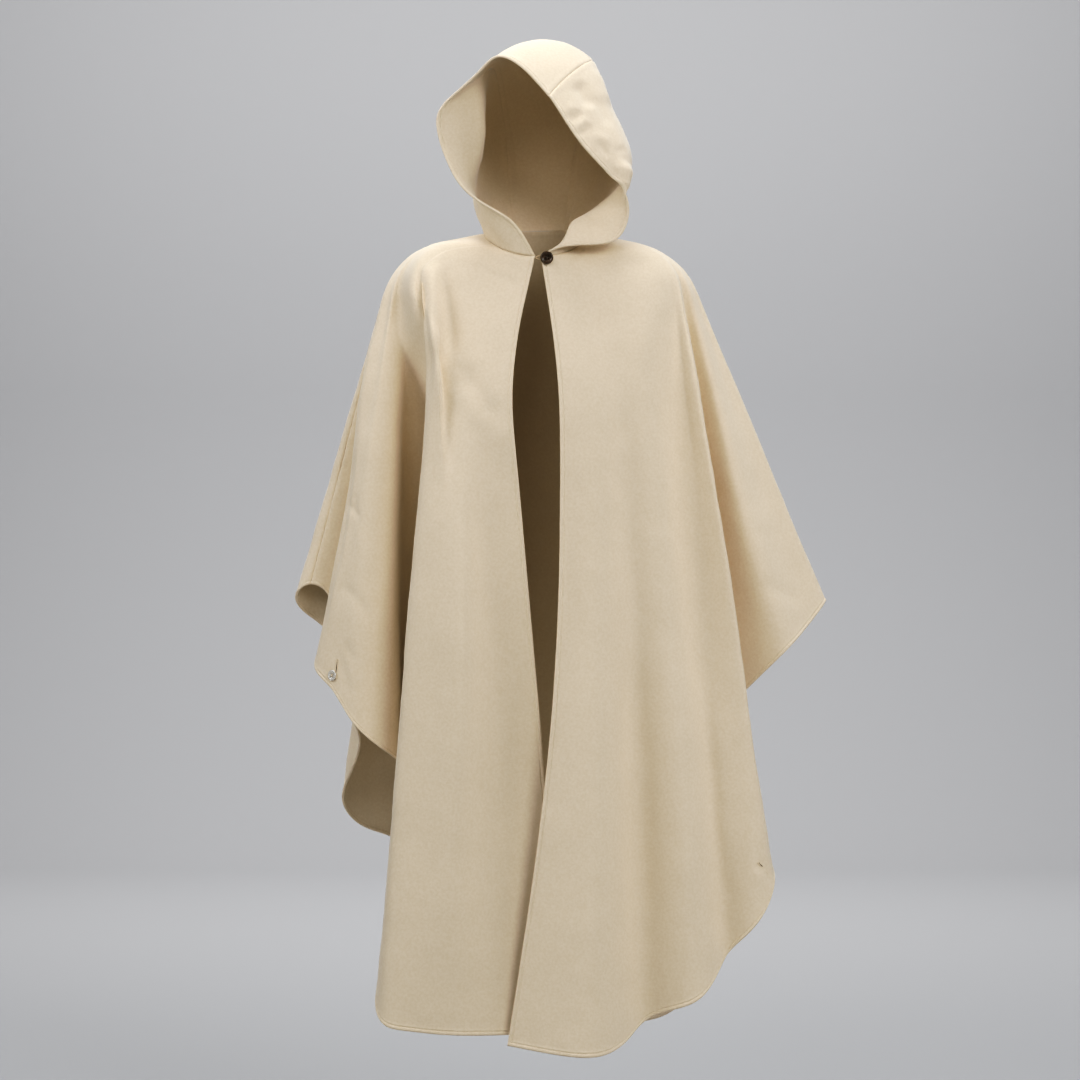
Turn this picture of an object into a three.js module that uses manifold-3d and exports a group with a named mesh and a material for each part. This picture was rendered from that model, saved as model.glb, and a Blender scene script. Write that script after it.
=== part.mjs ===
// Hooded poncho (ruana): one wide cloth, open down the front, falling from a neck seam over the
// shoulders, with a three-piece hood, a button and loop at the neck and clear buttons at the sides.
// Millimetres, +Z up, the front faces -Y and +X is the wearer's left. The origin is inside the neck
// opening, level with the front of the neck seam, where the wearer's neck and shoulders hold it.
import * as THREE from "three";
import { mergeVertices } from "three/addons/utils/BufferGeometryUtils.js";
import Module from "manifold-3d";

const manifold = await Module();
manifold.setup();

// ---------------------------------------------------------------- driving dimensions
const WALL = 2; // felted wool cloth
const SEAM_GAP = 0.4; // between two pieces sewn edge to edge, at the middle of their walls

// Neck seam: an oval ring that climbs from the throat to the nape.
const NECK = { halfWidth: 78, throat: 97, nape: 68, throatLevel: -3, climb: 53, sideLift: 12 };

// Shoulder line: where the cloth leaves the figure and starts to fall.
const SHOULDER = {
  halfWidth: 211,
  squareness: 0.92,
  chest: 152,
  back: 138,
  sideShift: 6,
  topLevel: 18,
  chestLevel: -172,
  backLevel: -140,
  topFrom: 0.45, // sine of the angle at which the line starts to climb to the top
  topRange: 0.5,
};
const YOKE_SHARE = 0.14; // share of a fold line from the neck to the shoulder line
const ROUND_SHARE = 0.62; // share of that which belongs to the rounded shoulder
const ROUND_DROP = 78; // how far down the rounding reaches
const ROUND_ROWS = 0.45; // share of the yoke's rows that the rounding takes below the line

const NECK_BUTTON = { radius: 9.5, thickness: 4.2, x: 13, z: -6.4, stand: 3.6, shank: 2.4, lie: 2.3 };
const SIDE_BUTTON = { radius: 8, thickness: 2.6, stand: 0.9, shank: 0 };
const LOOP = { cord: 2.2, inner: 3.2, tail: 16, bulge: 1.34, sides: 6, steps: 30 };
// A button's outline from its back to its face: shares of the radius and of the thickness.
const BUTTON_OUTLINE = [
  { out: 0.8, up: 0 },
  { out: 1, up: 0.35 },
  { out: 1, up: 0.7 },
  { out: 0.88, up: 1 },
  { out: 0.72, up: 0.95 },
  { out: 0.55, up: 0.72 },
  { out: 0, up: 0.7 },
];
const BUTTON_SIDES = 18;
const HOLE = { radius: 1.1, from: 2.5, depth: 0.6, sides: 8, count: 4 };

// ---------------------------------------------------------------- fold lines
// One row for each fold line of the cloth. neck and rim: degrees from the front centre at which the
// line crosses the neck seam and the shoulder line. x, y, z: its end on the hem. via: places on its
// fall, each with at (share of the fall), x and y.
const RIGHT_FRONT = [
  { fold: "front_edge", neck: 3, rim: 10, x: 43, y: -176, z: -1128 },
  { fold: "chest", neck: 14, rim: 22, x: -54, y: -194, z: -1131 },
  { fold: "panel_mid", neck: 26, rim: 34, x: -126, y: -206, z: -1129, via: [{ at: 0.3, x: -102, y: -172 }] },
  { fold: "panel_side", neck: 38, rim: 44, x: -188, y: -206, z: -1123, via: [{ at: 0.3, x: -128, y: -165 }] },
  {
    fold: "ridge_front",
    neck: 45,
    rim: 51,
    x: -221,
    y: -197,
    z: -1115,
    via: [
      { at: 0.12, x: -146, y: -140 },
      { at: 0.22, x: -147, y: -149 },
      { at: 0.4, x: -166, y: -160 },
      { at: 0.6, x: -189, y: -171 },
    ],
  },
  {
    fold: "main_ridge",
    neck: 50,
    rim: 56,
    x: -232,
    y: -176,
    z: -1098,
    via: [
      { at: 0.12, x: -160, y: -126 },
      { at: 0.22, x: -160, y: -134 },
      { at: 0.4, x: -179, y: -145 },
      { at: 0.6, x: -198, y: -154 },
    ],
  },
  {
    fold: "ridge_back",
    neck: 55,
    rim: 60,
    x: -218,
    y: -122,
    z: -1010,
    via: [
      { at: 0.12, x: -164, y: -108 },
      { at: 0.22, x: -158, y: -98 },
      { at: 0.35, x: -164, y: -88 },
    ],
  },
  {
    fold: "valley",
    neck: 60,
    rim: 64.5,
    x: -192,
    y: -24,
    z: -850,
    via: [
      { at: 0.12, x: -172, y: -96 },
      { at: 0.2, x: -170, y: -64 },
      { at: 0.32, x: -166, y: -8 },
    ],
  },
  {
    fold: "valley_out",
    neck: 66,
    rim: 68,
    x: -208,
    y: -36,
    z: -768,
    via: [
      { at: 0.12, x: -188, y: -82 },
      { at: 0.2, x: -194, y: -50 },
      { at: 0.4, x: -202, y: -6 },
    ],
  },
  { fold: "flap_tip", neck: 70, rim: 72, x: -209, y: -92, z: -742, via: [{ at: 0.4, x: -210, y: -60 }] },
  { fold: "flap_mid", neck: 74, rim: 76, x: -268, y: -104, z: -692, via: [{ at: 0.4, x: -240, y: -74 }] },
  { fold: "flap_button", neck: 77, rim: 79, x: -304, y: -78, z: -640, via: [{ at: 0.4, x: -252, y: -62 }] },
  {
    fold: "flap_crease",
    neck: 80,
    rim: 82,
    x: -330,
    y: -50,
    z: -612,
    via: [
      { at: 0.36, x: -263, y: -43 },
      { at: 0.53, x: -276, y: -50 },
      { at: 0.72, x: -297, y: -54 },
    ],
  },
  {
    fold: "crease_back",
    neck: 82,
    rim: 84,
    x: -322,
    y: -22,
    z: -578,
    via: [
      { at: 0.4, x: -262, y: -20 },
      { at: 0.65, x: -280, y: -20 },
    ],
  },
  {
    fold: "crease_valley",
    neck: 85,
    rim: 86,
    x: -308,
    y: -4,
    z: -530,
    via: [
      { at: 0.4, x: -252, y: -2 },
      { at: 0.65, x: -272, y: 2 },
    ],
  },
  { fold: "cuff_front", neck: 87.5, rim: 88, x: -320, y: 2, z: -496 },
];
const RIGHT_SEAM = [{ fold: "overarm_seam", neck: 90, rim: 90, x: -342, y: 8, z: -487 }];
const RIGHT_BACK = [
  { fold: "cuff_out", neck: 93, rim: 93, x: -365, y: 26, z: -505 },
  { fold: "cuff_turn", neck: 96, rim: 96, x: -354, y: 50, z: -530 },
  { fold: "cuff_back", neck: 99, rim: 99, x: -326, y: 54, z: -552 },
  { fold: "inner", neck: 103, rim: 102, x: -298, y: 14, z: -600 },
  { fold: "button_line", neck: 107, rim: 105, x: -291, y: -52, z: -650 },
  { fold: "button_back", neck: 111, rim: 108, x: -268, y: -12, z: -712 },
  { fold: "corner_in", neck: 116, rim: 113, x: -290, y: 52, z: -788 },
  { fold: "corner_out", neck: 121, rim: 118, x: -297, y: 82, z: -822 },
  { fold: "corner_low", neck: 126, rim: 123, x: -267, y: 126, z: -863 },
  { fold: "side_valley", neck: 132, rim: 129, x: -222, y: 150, z: -884 },
  { fold: "side_ridge", neck: 138, rim: 136, x: -212, y: 215, z: -985 },
  { fold: "back_fold", neck: 146, rim: 145, x: -166, y: 232, z: -1080 },
  { fold: "back_dip", neck: 155, rim: 154, x: -116, y: 208, z: -1144 },
  { fold: "back_rise", neck: 167, rim: 166, x: -62, y: 244, z: -1174 },
];
const BACK_CENTRE = [{ fold: "centre", neck: 180, rim: 180, x: 0, y: 230, z: -1182 }];
const LEFT_BACK = [
  { fold: "back_dip", neck: 167, rim: 166, x: 62, y: 222, z: -1188 },
  { fold: "back_ridge", neck: 155, rim: 154, x: 126, y: 252, z: -1188 },
  { fold: "back_fold", neck: 146, rim: 145, x: 184, y: 224, z: -1174 },
  { fold: "back_valley", neck: 138, rim: 136, x: 230, y: 198, z: -1138 },
  { fold: "side_ridge", neck: 130, rim: 127, x: 280, y: 214, z: -1032 },
  { fold: "side_out", neck: 121, rim: 118, x: 318, y: 165, z: -890 },
  { fold: "side_valley", neck: 113, rim: 110, x: 286, y: 104, z: -744 },
  { fold: "flap_back", neck: 106, rim: 104, x: 326, y: 78, z: -626 },
  { fold: "flap_out", neck: 100, rim: 98, x: 384, y: 56, z: -560 },
  { fold: "cuff", neck: 95, rim: 94, x: 423, y: 28, z: -517 },
];
const LEFT_SEAM = [{ fold: "overarm_seam", neck: 90, rim: 90, x: 431, y: 2, z: -513 }];
const LEFT_FRONT = [
  { fold: "cuff_front", neck: 87, rim: 87.5, x: 410, y: -18, z: -540 },
  {
    fold: "flap_low",
    neck: 83,
    rim: 84.5,
    x: 366,
    y: -56,
    z: -586,
    via: [
      { at: 0.38, x: 266, y: -34 },
      { at: 0.63, x: 300, y: -48 },
    ],
  },
  {
    fold: "flap_in",
    neck: 79,
    rim: 81,
    x: 308,
    y: -36,
    z: -645,
    via: [
      { at: 0.34, x: 242, y: -20 },
      { at: 0.57, x: 264, y: -20 },
    ],
  },
  {
    fold: "valley",
    neck: 75,
    rim: 77.5,
    x: 248,
    y: -28,
    z: -735,
    via: [
      { at: 0.3, x: 222, y: -20 },
      { at: 0.7, x: 240, y: -17 },
    ],
  },
  { fold: "ridge_back", neck: 71, rim: 74, x: 304, y: -98, z: -850 },
  {
    fold: "main_ridge",
    neck: 66,
    rim: 70,
    x: 342,
    y: -150,
    z: -918,
    via: [
      { at: 0.3, x: 243, y: -111 },
      { at: 0.62, x: 291, y: -137 },
      { at: 0.85, x: 320, y: -147 },
    ],
  },
  { fold: "corner", neck: 60, rim: 64, x: 318, y: -172, z: -972 },
  { fold: "hem_valley", neck: 54, rim: 58, x: 277, y: -160, z: -1016 },
  { fold: "fold_side", neck: 48, rim: 52, x: 259, y: -176, z: -1045 },
  { fold: "fold_ridge", neck: 43, rim: 47, x: 229, y: -202, z: -1080 },
  { fold: "fold_in", neck: 37, rim: 42, x: 190, y: -192, z: -1096 },
  { fold: "fold_valley", neck: 32, rim: 37, x: 154, y: -180, z: -1113 },
  { fold: "front_turn", neck: 26, rim: 30, x: 122, y: -208, z: -1142 },
  { fold: "front_ridge", neck: 20, rim: 24, x: 88, y: -238, z: -1154 },
  { fold: "front_mid", neck: 12, rim: 16, x: 30, y: -234, z: -1153 },
  {
    fold: "front_edge",
    neck: 3,
    rim: 7,
    x: -44,
    y: -206,
    z: -1144,
    via: [
      { at: 0.3, x: 31, y: -180 },
      { at: 0.65, x: 6, y: -198 },
    ],
  },
];

// Rows of the cloth's grid from the neck (0) to the hem (1), closer over the shoulder and at the hem.
const CAPE_ROWS = [0, 0.05, 0.095, 0.13, 0.165, 0.2, 0.27, 0.35, 0.44, 0.53, 0.62, 0.71, 0.8, 0.88, 0.95, 1];
const FRONT_CELLS = 3; // grid columns between two fold lines
const BACK_CELLS = 2;

// ---------------------------------------------------------------- hood
// Arches over the head, from the face edge back to the nape. at: share of the way back. foot: degrees
// round the neck seam of both ends. Other columns, [x, y, z]: right, up the right side from the stand
// above the seam; top, over the crown from the right seam of the band to the left one; low, down the
// left side, where the edge is turned out like a collar.
const HOOD = [
  {
    arch: "face_edge",
    at: 0,
    foot: 3,
    right: { stand: [-24, -102, 32], collar: [-56, -104, 61], jaw: [-104, -98, 90], cheek: [-139, -82, 150] },
    top: {
      side: [-150, -76, 194],
      right: [-132, -80, 229],
      rise: [-94, -94, 260],
      crown: [-62, -112, 286],
      left: [15, -132, 226],
    },
    low: {
      cheek: [60, -130, 160],
      jaw: [111, -112, 107],
      collar: [133, -96, 68],
      turn: [110, -94, 19],
      stand: [38, -104, 10],
    },
  },
  {
    arch: "brow",
    at: 0.12,
    foot: 28,
    right: { stand: [-50, -87, 22], collar: [-78, -78, 54], jaw: [-94, -62, 100], cheek: [-88, -54, 152] },
    top: {
      side: [-85, -50, 207],
      right: [-84, -52, 270],
      rise: [-58, -60, 297],
      crown: [-24, -66, 313],
      left: [52, -84, 270],
    },
    low: {
      cheek: [98, -92, 197],
      jaw: [134, -84, 122],
      collar: [114, -68, 88],
      turn: [84, -70, 50],
      stand: [42, -86, 30],
    },
  },
  {
    arch: "temple",
    at: 0.24,
    foot: 54,
    right: { stand: [-73, -56, 34], collar: [-90, -38, 61], jaw: [-94, -22, 105], cheek: [-90, -10, 160] },
    top: {
      side: [-84, -6, 216],
      right: [-68, -9, 286],
      rise: [-36, -12, 312],
      crown: [6, -16, 326],
      left: [80, -28, 294],
    },
    low: {
      cheek: [107, -40, 226],
      jaw: [137, -44, 138],
      collar: [106, -34, 92],
      turn: [68, -46, 62],
      stand: [50, -70, 40],
    },
  },
  {
    arch: "crown",
    at: 0.36,
    foot: 80,
    right: { stand: [-82, -14, 44], collar: [-90, 2, 70], jaw: [-98, 18, 112], cheek: [-98, 30, 165] },
    top: {
      side: [-92, 36, 218],
      right: [-62, 40, 280],
      rise: [-32, 43, 306],
      crown: [8, 46, 318],
      left: [78, 30, 291],
    },
    low: {
      cheek: [108, 18, 226],
      jaw: [131, 6, 144],
      collar: [104, 12, 94],
      turn: [80, -8, 66],
      stand: [73, -26, 44],
    },
  },
  {
    arch: "back",
    at: 0.49,
    foot: 102,
    right: { stand: [-81, 15, 53], collar: [-84, 34, 78], jaw: [-92, 52, 116], cheek: [-93, 72, 164] },
    top: {
      side: [-86, 84, 208],
      right: [-57, 92, 252],
      rise: [-28, 96, 273],
      crown: [7, 98, 282],
      left: [71, 84, 260],
    },
    low: {
      cheek: [104, 65, 214],
      jaw: [118, 44, 150],
      collar: [104, 34, 99],
      turn: [88, 22, 70],
      stand: [81, 15, 52],
    },
  },
  {
    arch: "occiput",
    at: 0.64,
    foot: 118,
    right: { stand: [-72, 34, 58], collar: [-76, 50, 80], jaw: [-80, 72, 110], cheek: [-78, 95, 148] },
    top: {
      side: [-70, 111, 180],
      right: [-50, 120, 206],
      rise: [-24, 124, 215],
      crown: [5, 126, 218],
      left: [60, 116, 208],
    },
    low: {
      cheek: [86, 100, 176],
      jaw: [96, 76, 132],
      collar: [89, 52, 94],
      turn: [78, 40, 71],
      stand: [72, 34, 57],
    },
  },
  {
    arch: "low",
    at: 0.8,
    foot: 127,
    right: { stand: [-64, 43, 58], collar: [-67, 55, 71], jaw: [-68, 71, 90], cheek: [-65, 88, 112] },
    top: {
      side: [-58, 99, 126],
      right: [-45, 105, 134],
      rise: [-22, 108, 137],
      crown: [3, 109, 138],
      left: [51, 103, 136],
    },
    low: {
      cheek: [68, 92, 124],
      jaw: [75, 75, 100],
      collar: [73, 59, 79],
      turn: [68, 50, 66],
      stand: [65, 43, 57],
    },
  },
];
// The last arch lies on the neck seam: the degrees of its columns on each side of the nape.
const NAPE = {
  right: { foot: 134, stand: 136, collar: 138.5, jaw: 141, cheek: 144, side: 147, seam: 150, rise: 165 },
  centre: 180,
  left: { seam: 150, cheek: 147, jaw: 144, collar: 141, turn: 138.5, stand: 136, foot: 134 },
};
const HOOD_ROWS = [0, 0.04, 0.08, 0.13, 0.18, 0.24, 0.31, 0.38, 0.46, 0.55, 0.64, 0.73, 0.82, 0.91, 1];
const HOOD_CELLS = { side: 2, band: 2 };

// ---------------------------------------------------------------- splines
// Natural cubic spline through points (arrays of numbers) at the knots.
function naturalSpline(knots, points) {
  const last = knots.length - 1;
  const step = knots.slice(1).map((k, i) => k - knots[i]);
  const bend = points[0].map((_, axis) => {
    const slope = step.map((h, i) => (points[i + 1][axis] - points[i][axis]) / h);
    const m = new Array(last + 1).fill(0);
    const upper = new Array(last + 1).fill(0);
    for (let i = 1; i < last; i++) {
      const pivot = 2 * (step[i - 1] + step[i]) - step[i - 1] * upper[i - 1];
      upper[i] = step[i] / pivot;
      m[i] = (6 * (slope[i] - slope[i - 1]) - step[i - 1] * m[i - 1]) / pivot;
    }
    for (let i = last - 1; i > 0; i--) m[i] -= upper[i] * m[i + 1];
    return m;
  });
  return (t) => {
    let i = 0;
    while (i < last - 1 && t >= knots[i + 1]) i++;
    const h = step[i];
    const past = t - knots[i];
    const left = knots[i + 1] - t;
    return points[i].map((p, axis) => {
      const [m0, m1] = [bend[axis][i], bend[axis][i + 1]];
      const cubic = (m0 * left ** 3 + m1 * past ** 3) / (6 * h);
      return cubic + (p / h - (m0 * h) / 6) * left + (points[i + 1][axis] / h - (m1 * h) / 6) * past;
    });
  };
}

const distance = (a, b) => Math.hypot(...a.map((value, axis) => value - b[axis]));
const mix = (a, b, t) => a.map((value, axis) => value + (b[axis] - value) * t);
const clamp01 = (t) => Math.min(1, Math.max(0, t));
const smoothStep = (t) => clamp01(t) ** 2 * (3 - 2 * clamp01(t));

// ---------------------------------------------------------------- rings of the figure
// 0 degrees is the front centre, 90 the wearer's left and 180 the nape.
function neckPoint(degrees) {
  const angle = THREE.MathUtils.degToRad(degrees);
  const [cos, sin] = [Math.cos(angle), Math.sin(angle)];
  const level = NECK.throatLevel + (NECK.climb * (1 - cos)) / 2 + NECK.sideLift * sin * sin;
  return [NECK.halfWidth * sin, -(cos > 0 ? NECK.throat : NECK.nape) * cos, level];
}

function shoulderPoint(degrees) {
  const angle = THREE.MathUtils.degToRad(degrees);
  const [cos, sin] = [Math.cos(angle), Math.sin(angle)];
  const depth = cos > 0 ? SHOULDER.chest : SHOULDER.back;
  const low = cos > 0 ? SHOULDER.chestLevel : SHOULDER.backLevel;
  const climb = smoothStep((Math.abs(sin) - SHOULDER.topFrom) / SHOULDER.topRange);
  return [
    SHOULDER.halfWidth * Math.sign(sin) * Math.abs(sin) ** SHOULDER.squareness,
    -depth * cos + SHOULDER.sideShift * sin * sin,
    low + (SHOULDER.topLevel - low) * climb,
  ];
}

// ---------------------------------------------------------------- the cloth as one surface
// A fold line from the neck (0) over the rounded shoulder to the hem (1).
function foldLine({ side, neck, rim, x, y, z, via = [] }) {
  const start = neckPoint(side * neck);
  const corner = shoulderPoint(side * rim);
  const path = [[corner[0], corner[1]], ...via.map((place) => [place.x, place.y]), [x, y]];
  const plan = naturalSpline([0, ...via.map((place) => place.at), 1], path);
  const fall = (share) => [...plan(share), corner[2] + share * (z - corner[2])];
  const roundEnd = ROUND_DROP / distance([x, y, z], corner);
  const roundStart = mix(start, corner, 1 - ROUND_SHARE);
  const roundLow = fall(roundEnd);
  const [first, second] = [YOKE_SHARE * (1 - ROUND_SHARE), YOKE_SHARE * (1 + ROUND_ROWS)];
  return (v) => {
    if (v <= first) return mix(start, roundStart, v / first);
    if (v >= second) return fall(roundEnd + ((1 - roundEnd) * (v - second)) / (1 - second));
    const t = (v - first) / (second - first);
    return mix(mix(roundStart, corner, t), mix(corner, roundLow, t), t);
  };
}

const onSide = (side, rows) => rows.map((row) => ({ side, ...row }));
const FOLDS = [
  ...onSide(-1, [...RIGHT_FRONT, ...RIGHT_SEAM, ...RIGHT_BACK, ...BACK_CENTRE]),
  ...onSide(1, [...LEFT_BACK, ...LEFT_SEAM, ...LEFT_FRONT]),
];
const LINES = FOLDS.map(foldLine);
const RIGHT_SEAM_AT = RIGHT_FRONT.length;
const LEFT_SEAM_AT = FOLDS.length - 1 - LEFT_FRONT.length;
const lineOf = (side, name) => FOLDS.findIndex((row) => row.side === side && row.fold === name);
// The back is one width of cloth. It is held in three parts that meet at these fold lines, so that
// each part bends round one hollow only.
const BACK_PARTS = { right: lineOf(-1, "back_fold"), left: lineOf(1, "back_fold") };

// The knots of the fold lines: the mean distance between neighbours, weighed at four heights.
const KNOT_HEIGHTS = [
  { v: 0.1, weight: 0.15 },
  { v: 0.3, weight: 0.2 },
  { v: 0.6, weight: 0.3 },
  { v: 1, weight: 0.35 },
];
const CAPE_KNOTS = LINES.reduce((knots, line, i) => {
  if (!i) return [0];
  const gaps = KNOT_HEIGHTS.map(({ v, weight }) => weight * distance(line(v), LINES[i - 1](v)));
  return [...knots, knots[i - 1] + gaps.reduce((sum, gap) => sum + gap)];
}, []);

const rowCache = new Map();
function capeRow(v) {
  if (!rowCache.has(v)) rowCache.set(v, naturalSpline(CAPE_KNOTS, LINES.map((line) => line(v))));
  return rowCache.get(v);
}
const cape = (u, v) => capeRow(v)(u);

// ---------------------------------------------------------------- the hood as one surface
const hoodColumns = ({ foot, right, top, low }) => [
  neckPoint(-foot),
  ...Object.values(right),
  ...Object.values(top),
  ...Object.values(low),
  neckPoint(foot),
];
const HOOD_SEAMS = { right: 6, left: 9 };
// Degrees round the neck run on past the nape, so that they fall steadily along the arch.
const NAPE_DEGREES = [
  ...Object.values(NAPE.right).map((degrees) => -degrees),
  -NAPE.centre,
  ...Object.values(NAPE.left).map((degrees) => degrees - 360),
];
const HOOD_NET = [...HOOD.map(hoodColumns), NAPE_DEGREES.map(neckPoint)];
const HOOD_AT = [...HOOD.map((row) => row.at), 1];
const HOOD_LAST = HOOD_NET[0].length - 1;
const KNOT_ARCHES = 5;
const HOOD_KNOTS = HOOD_NET[0].reduce((knots, _, i) => {
  if (!i) return [0];
  const gaps = HOOD_NET.slice(0, KNOT_ARCHES).map((arch) => distance(arch[i], arch[i - 1]));
  return [...knots, knots[i - 1] + gaps.reduce((sum, gap) => sum + gap) / KNOT_ARCHES];
}, []);
const COLUMN_SPLINES = HOOD_NET[0].map((_, i) => naturalSpline(HOOD_AT, HOOD_NET.map((net) => net[i])));
const footDegrees = naturalSpline(HOOD_AT, [...HOOD.map((row) => [row.foot]), [NAPE.right.foot]]);
const napeDegrees = naturalSpline(HOOD_KNOTS, NAPE_DEGREES.map((degrees) => [degrees]));

const archCache = new Map();
function hoodArch(b) {
  if (!archCache.has(b)) {
    const points = COLUMN_SPLINES.map((column) => column(b));
    const [foot] = footDegrees(b);
    points[0] = neckPoint(-foot);
    points[points.length - 1] = neckPoint(foot);
    archCache.set(b, naturalSpline(HOOD_KNOTS, points));
  }
  return archCache.get(b);
}
const hood = (a, b) => hoodArch(b)(a);

// ---------------------------------------------------------------- walls
const vector = (point) => new THREE.Vector3(...point);
const STEP_ALONG = 0.5; // in knots, for the slopes of a surface
const STEP_DOWN = 0.002;

// Slopes of a surface at (s, t), one-sided at its borders.
function slopes(surface, s, t, length) {
  const [s0, s1] = [Math.max(0, s - STEP_ALONG), Math.min(length, s + STEP_ALONG)];
  const [t0, t1] = [Math.max(0, t - STEP_DOWN), Math.min(1, t + STEP_DOWN)];
  const along = vector(surface(s1, t)).sub(vector(surface(s0, t))).divideScalar(s1 - s0);
  const down = vector(surface(s, t1)).sub(vector(surface(s, t0))).divideScalar(t1 - t0);
  return { along, down, normal: new THREE.Vector3().crossVectors(along, down).normalize() };
}

// Two skins half a wall off the grid's points, joined round the border. cells[row][column] holds a
// point and its normal, which looks outward.
function wallGeometry(cells, wall = WALL) {
  const rows = cells.length;
  const columns = cells[0].length;
  const positions = [];
  for (const side of [1, -1])
    for (const { point, normal } of cells.flat())
      positions.push(...point.clone().addScaledVector(normal, (side * wall) / 2));
  const outer = (r, c) => r * columns + c;
  const inner = (r, c) => rows * columns + outer(r, c);
  const index = [];
  const quad = (a, b, c, d) => index.push(a, b, c, a, c, d);
  for (let r = 0; r < rows - 1; r++)
    for (let c = 0; c < columns - 1; c++) {
      quad(outer(r, c), outer(r, c + 1), outer(r + 1, c + 1), outer(r + 1, c));
      quad(inner(r, c), inner(r + 1, c), inner(r + 1, c + 1), inner(r, c + 1));
    }
  for (let c = 0; c < columns - 1; c++) {
    quad(outer(0, c + 1), outer(0, c), inner(0, c), inner(0, c + 1));
    quad(outer(rows - 1, c), outer(rows - 1, c + 1), inner(rows - 1, c + 1), inner(rows - 1, c));
  }
  const end = columns - 1;
  for (let r = 0; r < rows - 1; r++) {
    quad(outer(r, 0), outer(r + 1, 0), inner(r + 1, 0), inner(r, 0));
    quad(outer(r + 1, end), outer(r, end), inner(r, end), inner(r + 1, end));
  }
  const geometry = new THREE.BufferGeometry();
  geometry.setAttribute("position", new THREE.Float32BufferAttribute(positions, 3));
  geometry.setIndex(index);
  geometry.computeVertexNormals();
  return geometry;
}

// Grid columns between two knots, with the same number of cells between any two neighbours.
function stations(knots, from, to, cells) {
  const list = [knots[from]];
  for (let i = from; i < to; i++)
    for (let k = 1; k <= cells; k++) list.push(knots[i] + ((knots[i + 1] - knots[i]) * k) / cells);
  return list;
}

// Where a steady function reaches a value.
const SOLVE_STEPS = 40;
function solve(fn, target, from, to) {
  const rising = fn(to) > fn(from);
  let [low, high] = [from, to];
  for (let i = 0; i < SOLVE_STEPS; i++) {
    const middle = (low + high) / 2;
    if (fn(middle) < target === rising) low = middle;
    else high = middle;
  }
  return (low + high) / 2;
}

// Degrees round the neck seam of each fold line, running on past the nape.
const NECK_DEGREES = FOLDS.map((row) => (row.side < 0 ? -row.neck : row.neck - 360));
const neckDegrees = naturalSpline(CAPE_KNOTS, NECK_DEGREES.map((degrees) => [degrees]));

// The directions in which the cape and the hood leave the neck seam. Degrees run from 0 at the
// throat over the right side and the nape (-180) back to the throat (-360).
function capeLeaves(degrees) {
  const u = solve((at) => neckDegrees(at)[0], degrees, 0, CAPE_KNOTS.at(-1));
  return slopes(cape, u, 0, CAPE_KNOTS.at(-1)).down.normalize();
}
function hoodLeaves(degrees) {
  const length = HOOD_KNOTS.at(-1);
  const fromThroat = Math.min(-degrees, degrees + 360);
  if (fromThroat > NAPE.right.foot) {
    const a = solve((at) => napeDegrees(at)[0], degrees, 0, length);
    return slopes(hood, a, 1, length).down.normalize().negate();
  }
  const b = solve((at) => footDegrees(at)[0], fromThroat, 0, 1);
  const { along } = slopes(hood, degrees > -180 ? 0 : length, b, length);
  return along.normalize().multiplyScalar(degrees > -180 ? 1 : -1);
}

// How far an edge stands back from the neck seam: half the gap where the two walls are in line, and
// more where they meet at an angle, so that their corners keep the gap.
const SHARPEST_TURN = THREE.MathUtils.degToRad(110);
const FACET_SLACK = 0.15; // the facets of the two walls don't meet corner to corner
function setBack(degrees) {
  const turn = capeLeaves(degrees).negate().angleTo(hoodLeaves(degrees));
  return SEAM_GAP / 2 + FACET_SLACK + (WALL / 2) * Math.tan(Math.min(turn, SHARPEST_TURN) / 2);
}

// Half the gap beside a fold line where two parts meet. Away from the overarm seams the cloth bends
// more, so that the facets need their slack.
function halfGap(line) {
  const sewn = line === RIGHT_SEAM_AT || line === LEFT_SEAM_AT;
  return SEAM_GAP / 2 + (sewn ? 0 : FACET_SLACK);
}

// A panel of the cape between two fold lines.
function capePanel(from, to, cells) {
  const length = CAPE_KNOTS.at(-1);
  const columns = stations(CAPE_KNOTS, from, to, cells);
  const grid = CAPE_ROWS.map((v) =>
    columns.map((u, i) => {
      let [s, t] = [u, v];
      if (v === 0) t = setBack(neckDegrees(u)[0]) / slopes(cape, u, 0, length).down.length();
      const { along } = slopes(cape, u, t, length);
      if (i === 0 && from > 0) s += halfGap(from) / along.length();
      if (i === columns.length - 1 && to < LINES.length - 1) s -= halfGap(to) / along.length();
      return { point: vector(cape(s, t)), normal: slopes(cape, s, t, length).normal };
    }),
  );
  return wallGeometry(grid);
}

// A piece of the hood between two columns.
function hoodPiece(from, to, cells) {
  const length = HOOD_KNOTS.at(-1);
  const columns = stations(HOOD_KNOTS, from, to, cells);
  const grid = HOOD_ROWS.map((b) =>
    columns.map((a, i) => {
      let [s, t] = [a, b];
      if (b === 1) t = 1 - setBack(napeDegrees(a)[0]) / slopes(hood, a, 1, length).down.length();
      const { along } = slopes(hood, a, t, length);
      const foot = footDegrees(t)[0];
      const [first, last] = [i === 0, i === columns.length - 1];
      if (first) s += (from === 0 ? setBack(-foot) : SEAM_GAP / 2) / along.length();
      if (last) s -= (to === HOOD_LAST ? setBack(foot - 360) : SEAM_GAP / 2) / along.length();
      return { point: vector(hood(s, t)), normal: slopes(hood, s, t, length).normal };
    }),
  );
  return wallGeometry(grid);
}

// ---------------------------------------------------------------- buttons and loop
function toSolid(geometry) {
  const bare = geometry.clone();
  bare.deleteAttribute("normal");
  bare.deleteAttribute("uv");
  const merged = mergeVertices(bare, 1e-3);
  const vertProperties = merged.attributes.position.array;
  const triVerts = new Uint32Array(merged.index.array);
  return new manifold.Manifold(new manifold.Mesh({ numProp: 3, vertProperties, triVerts }));
}

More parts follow.
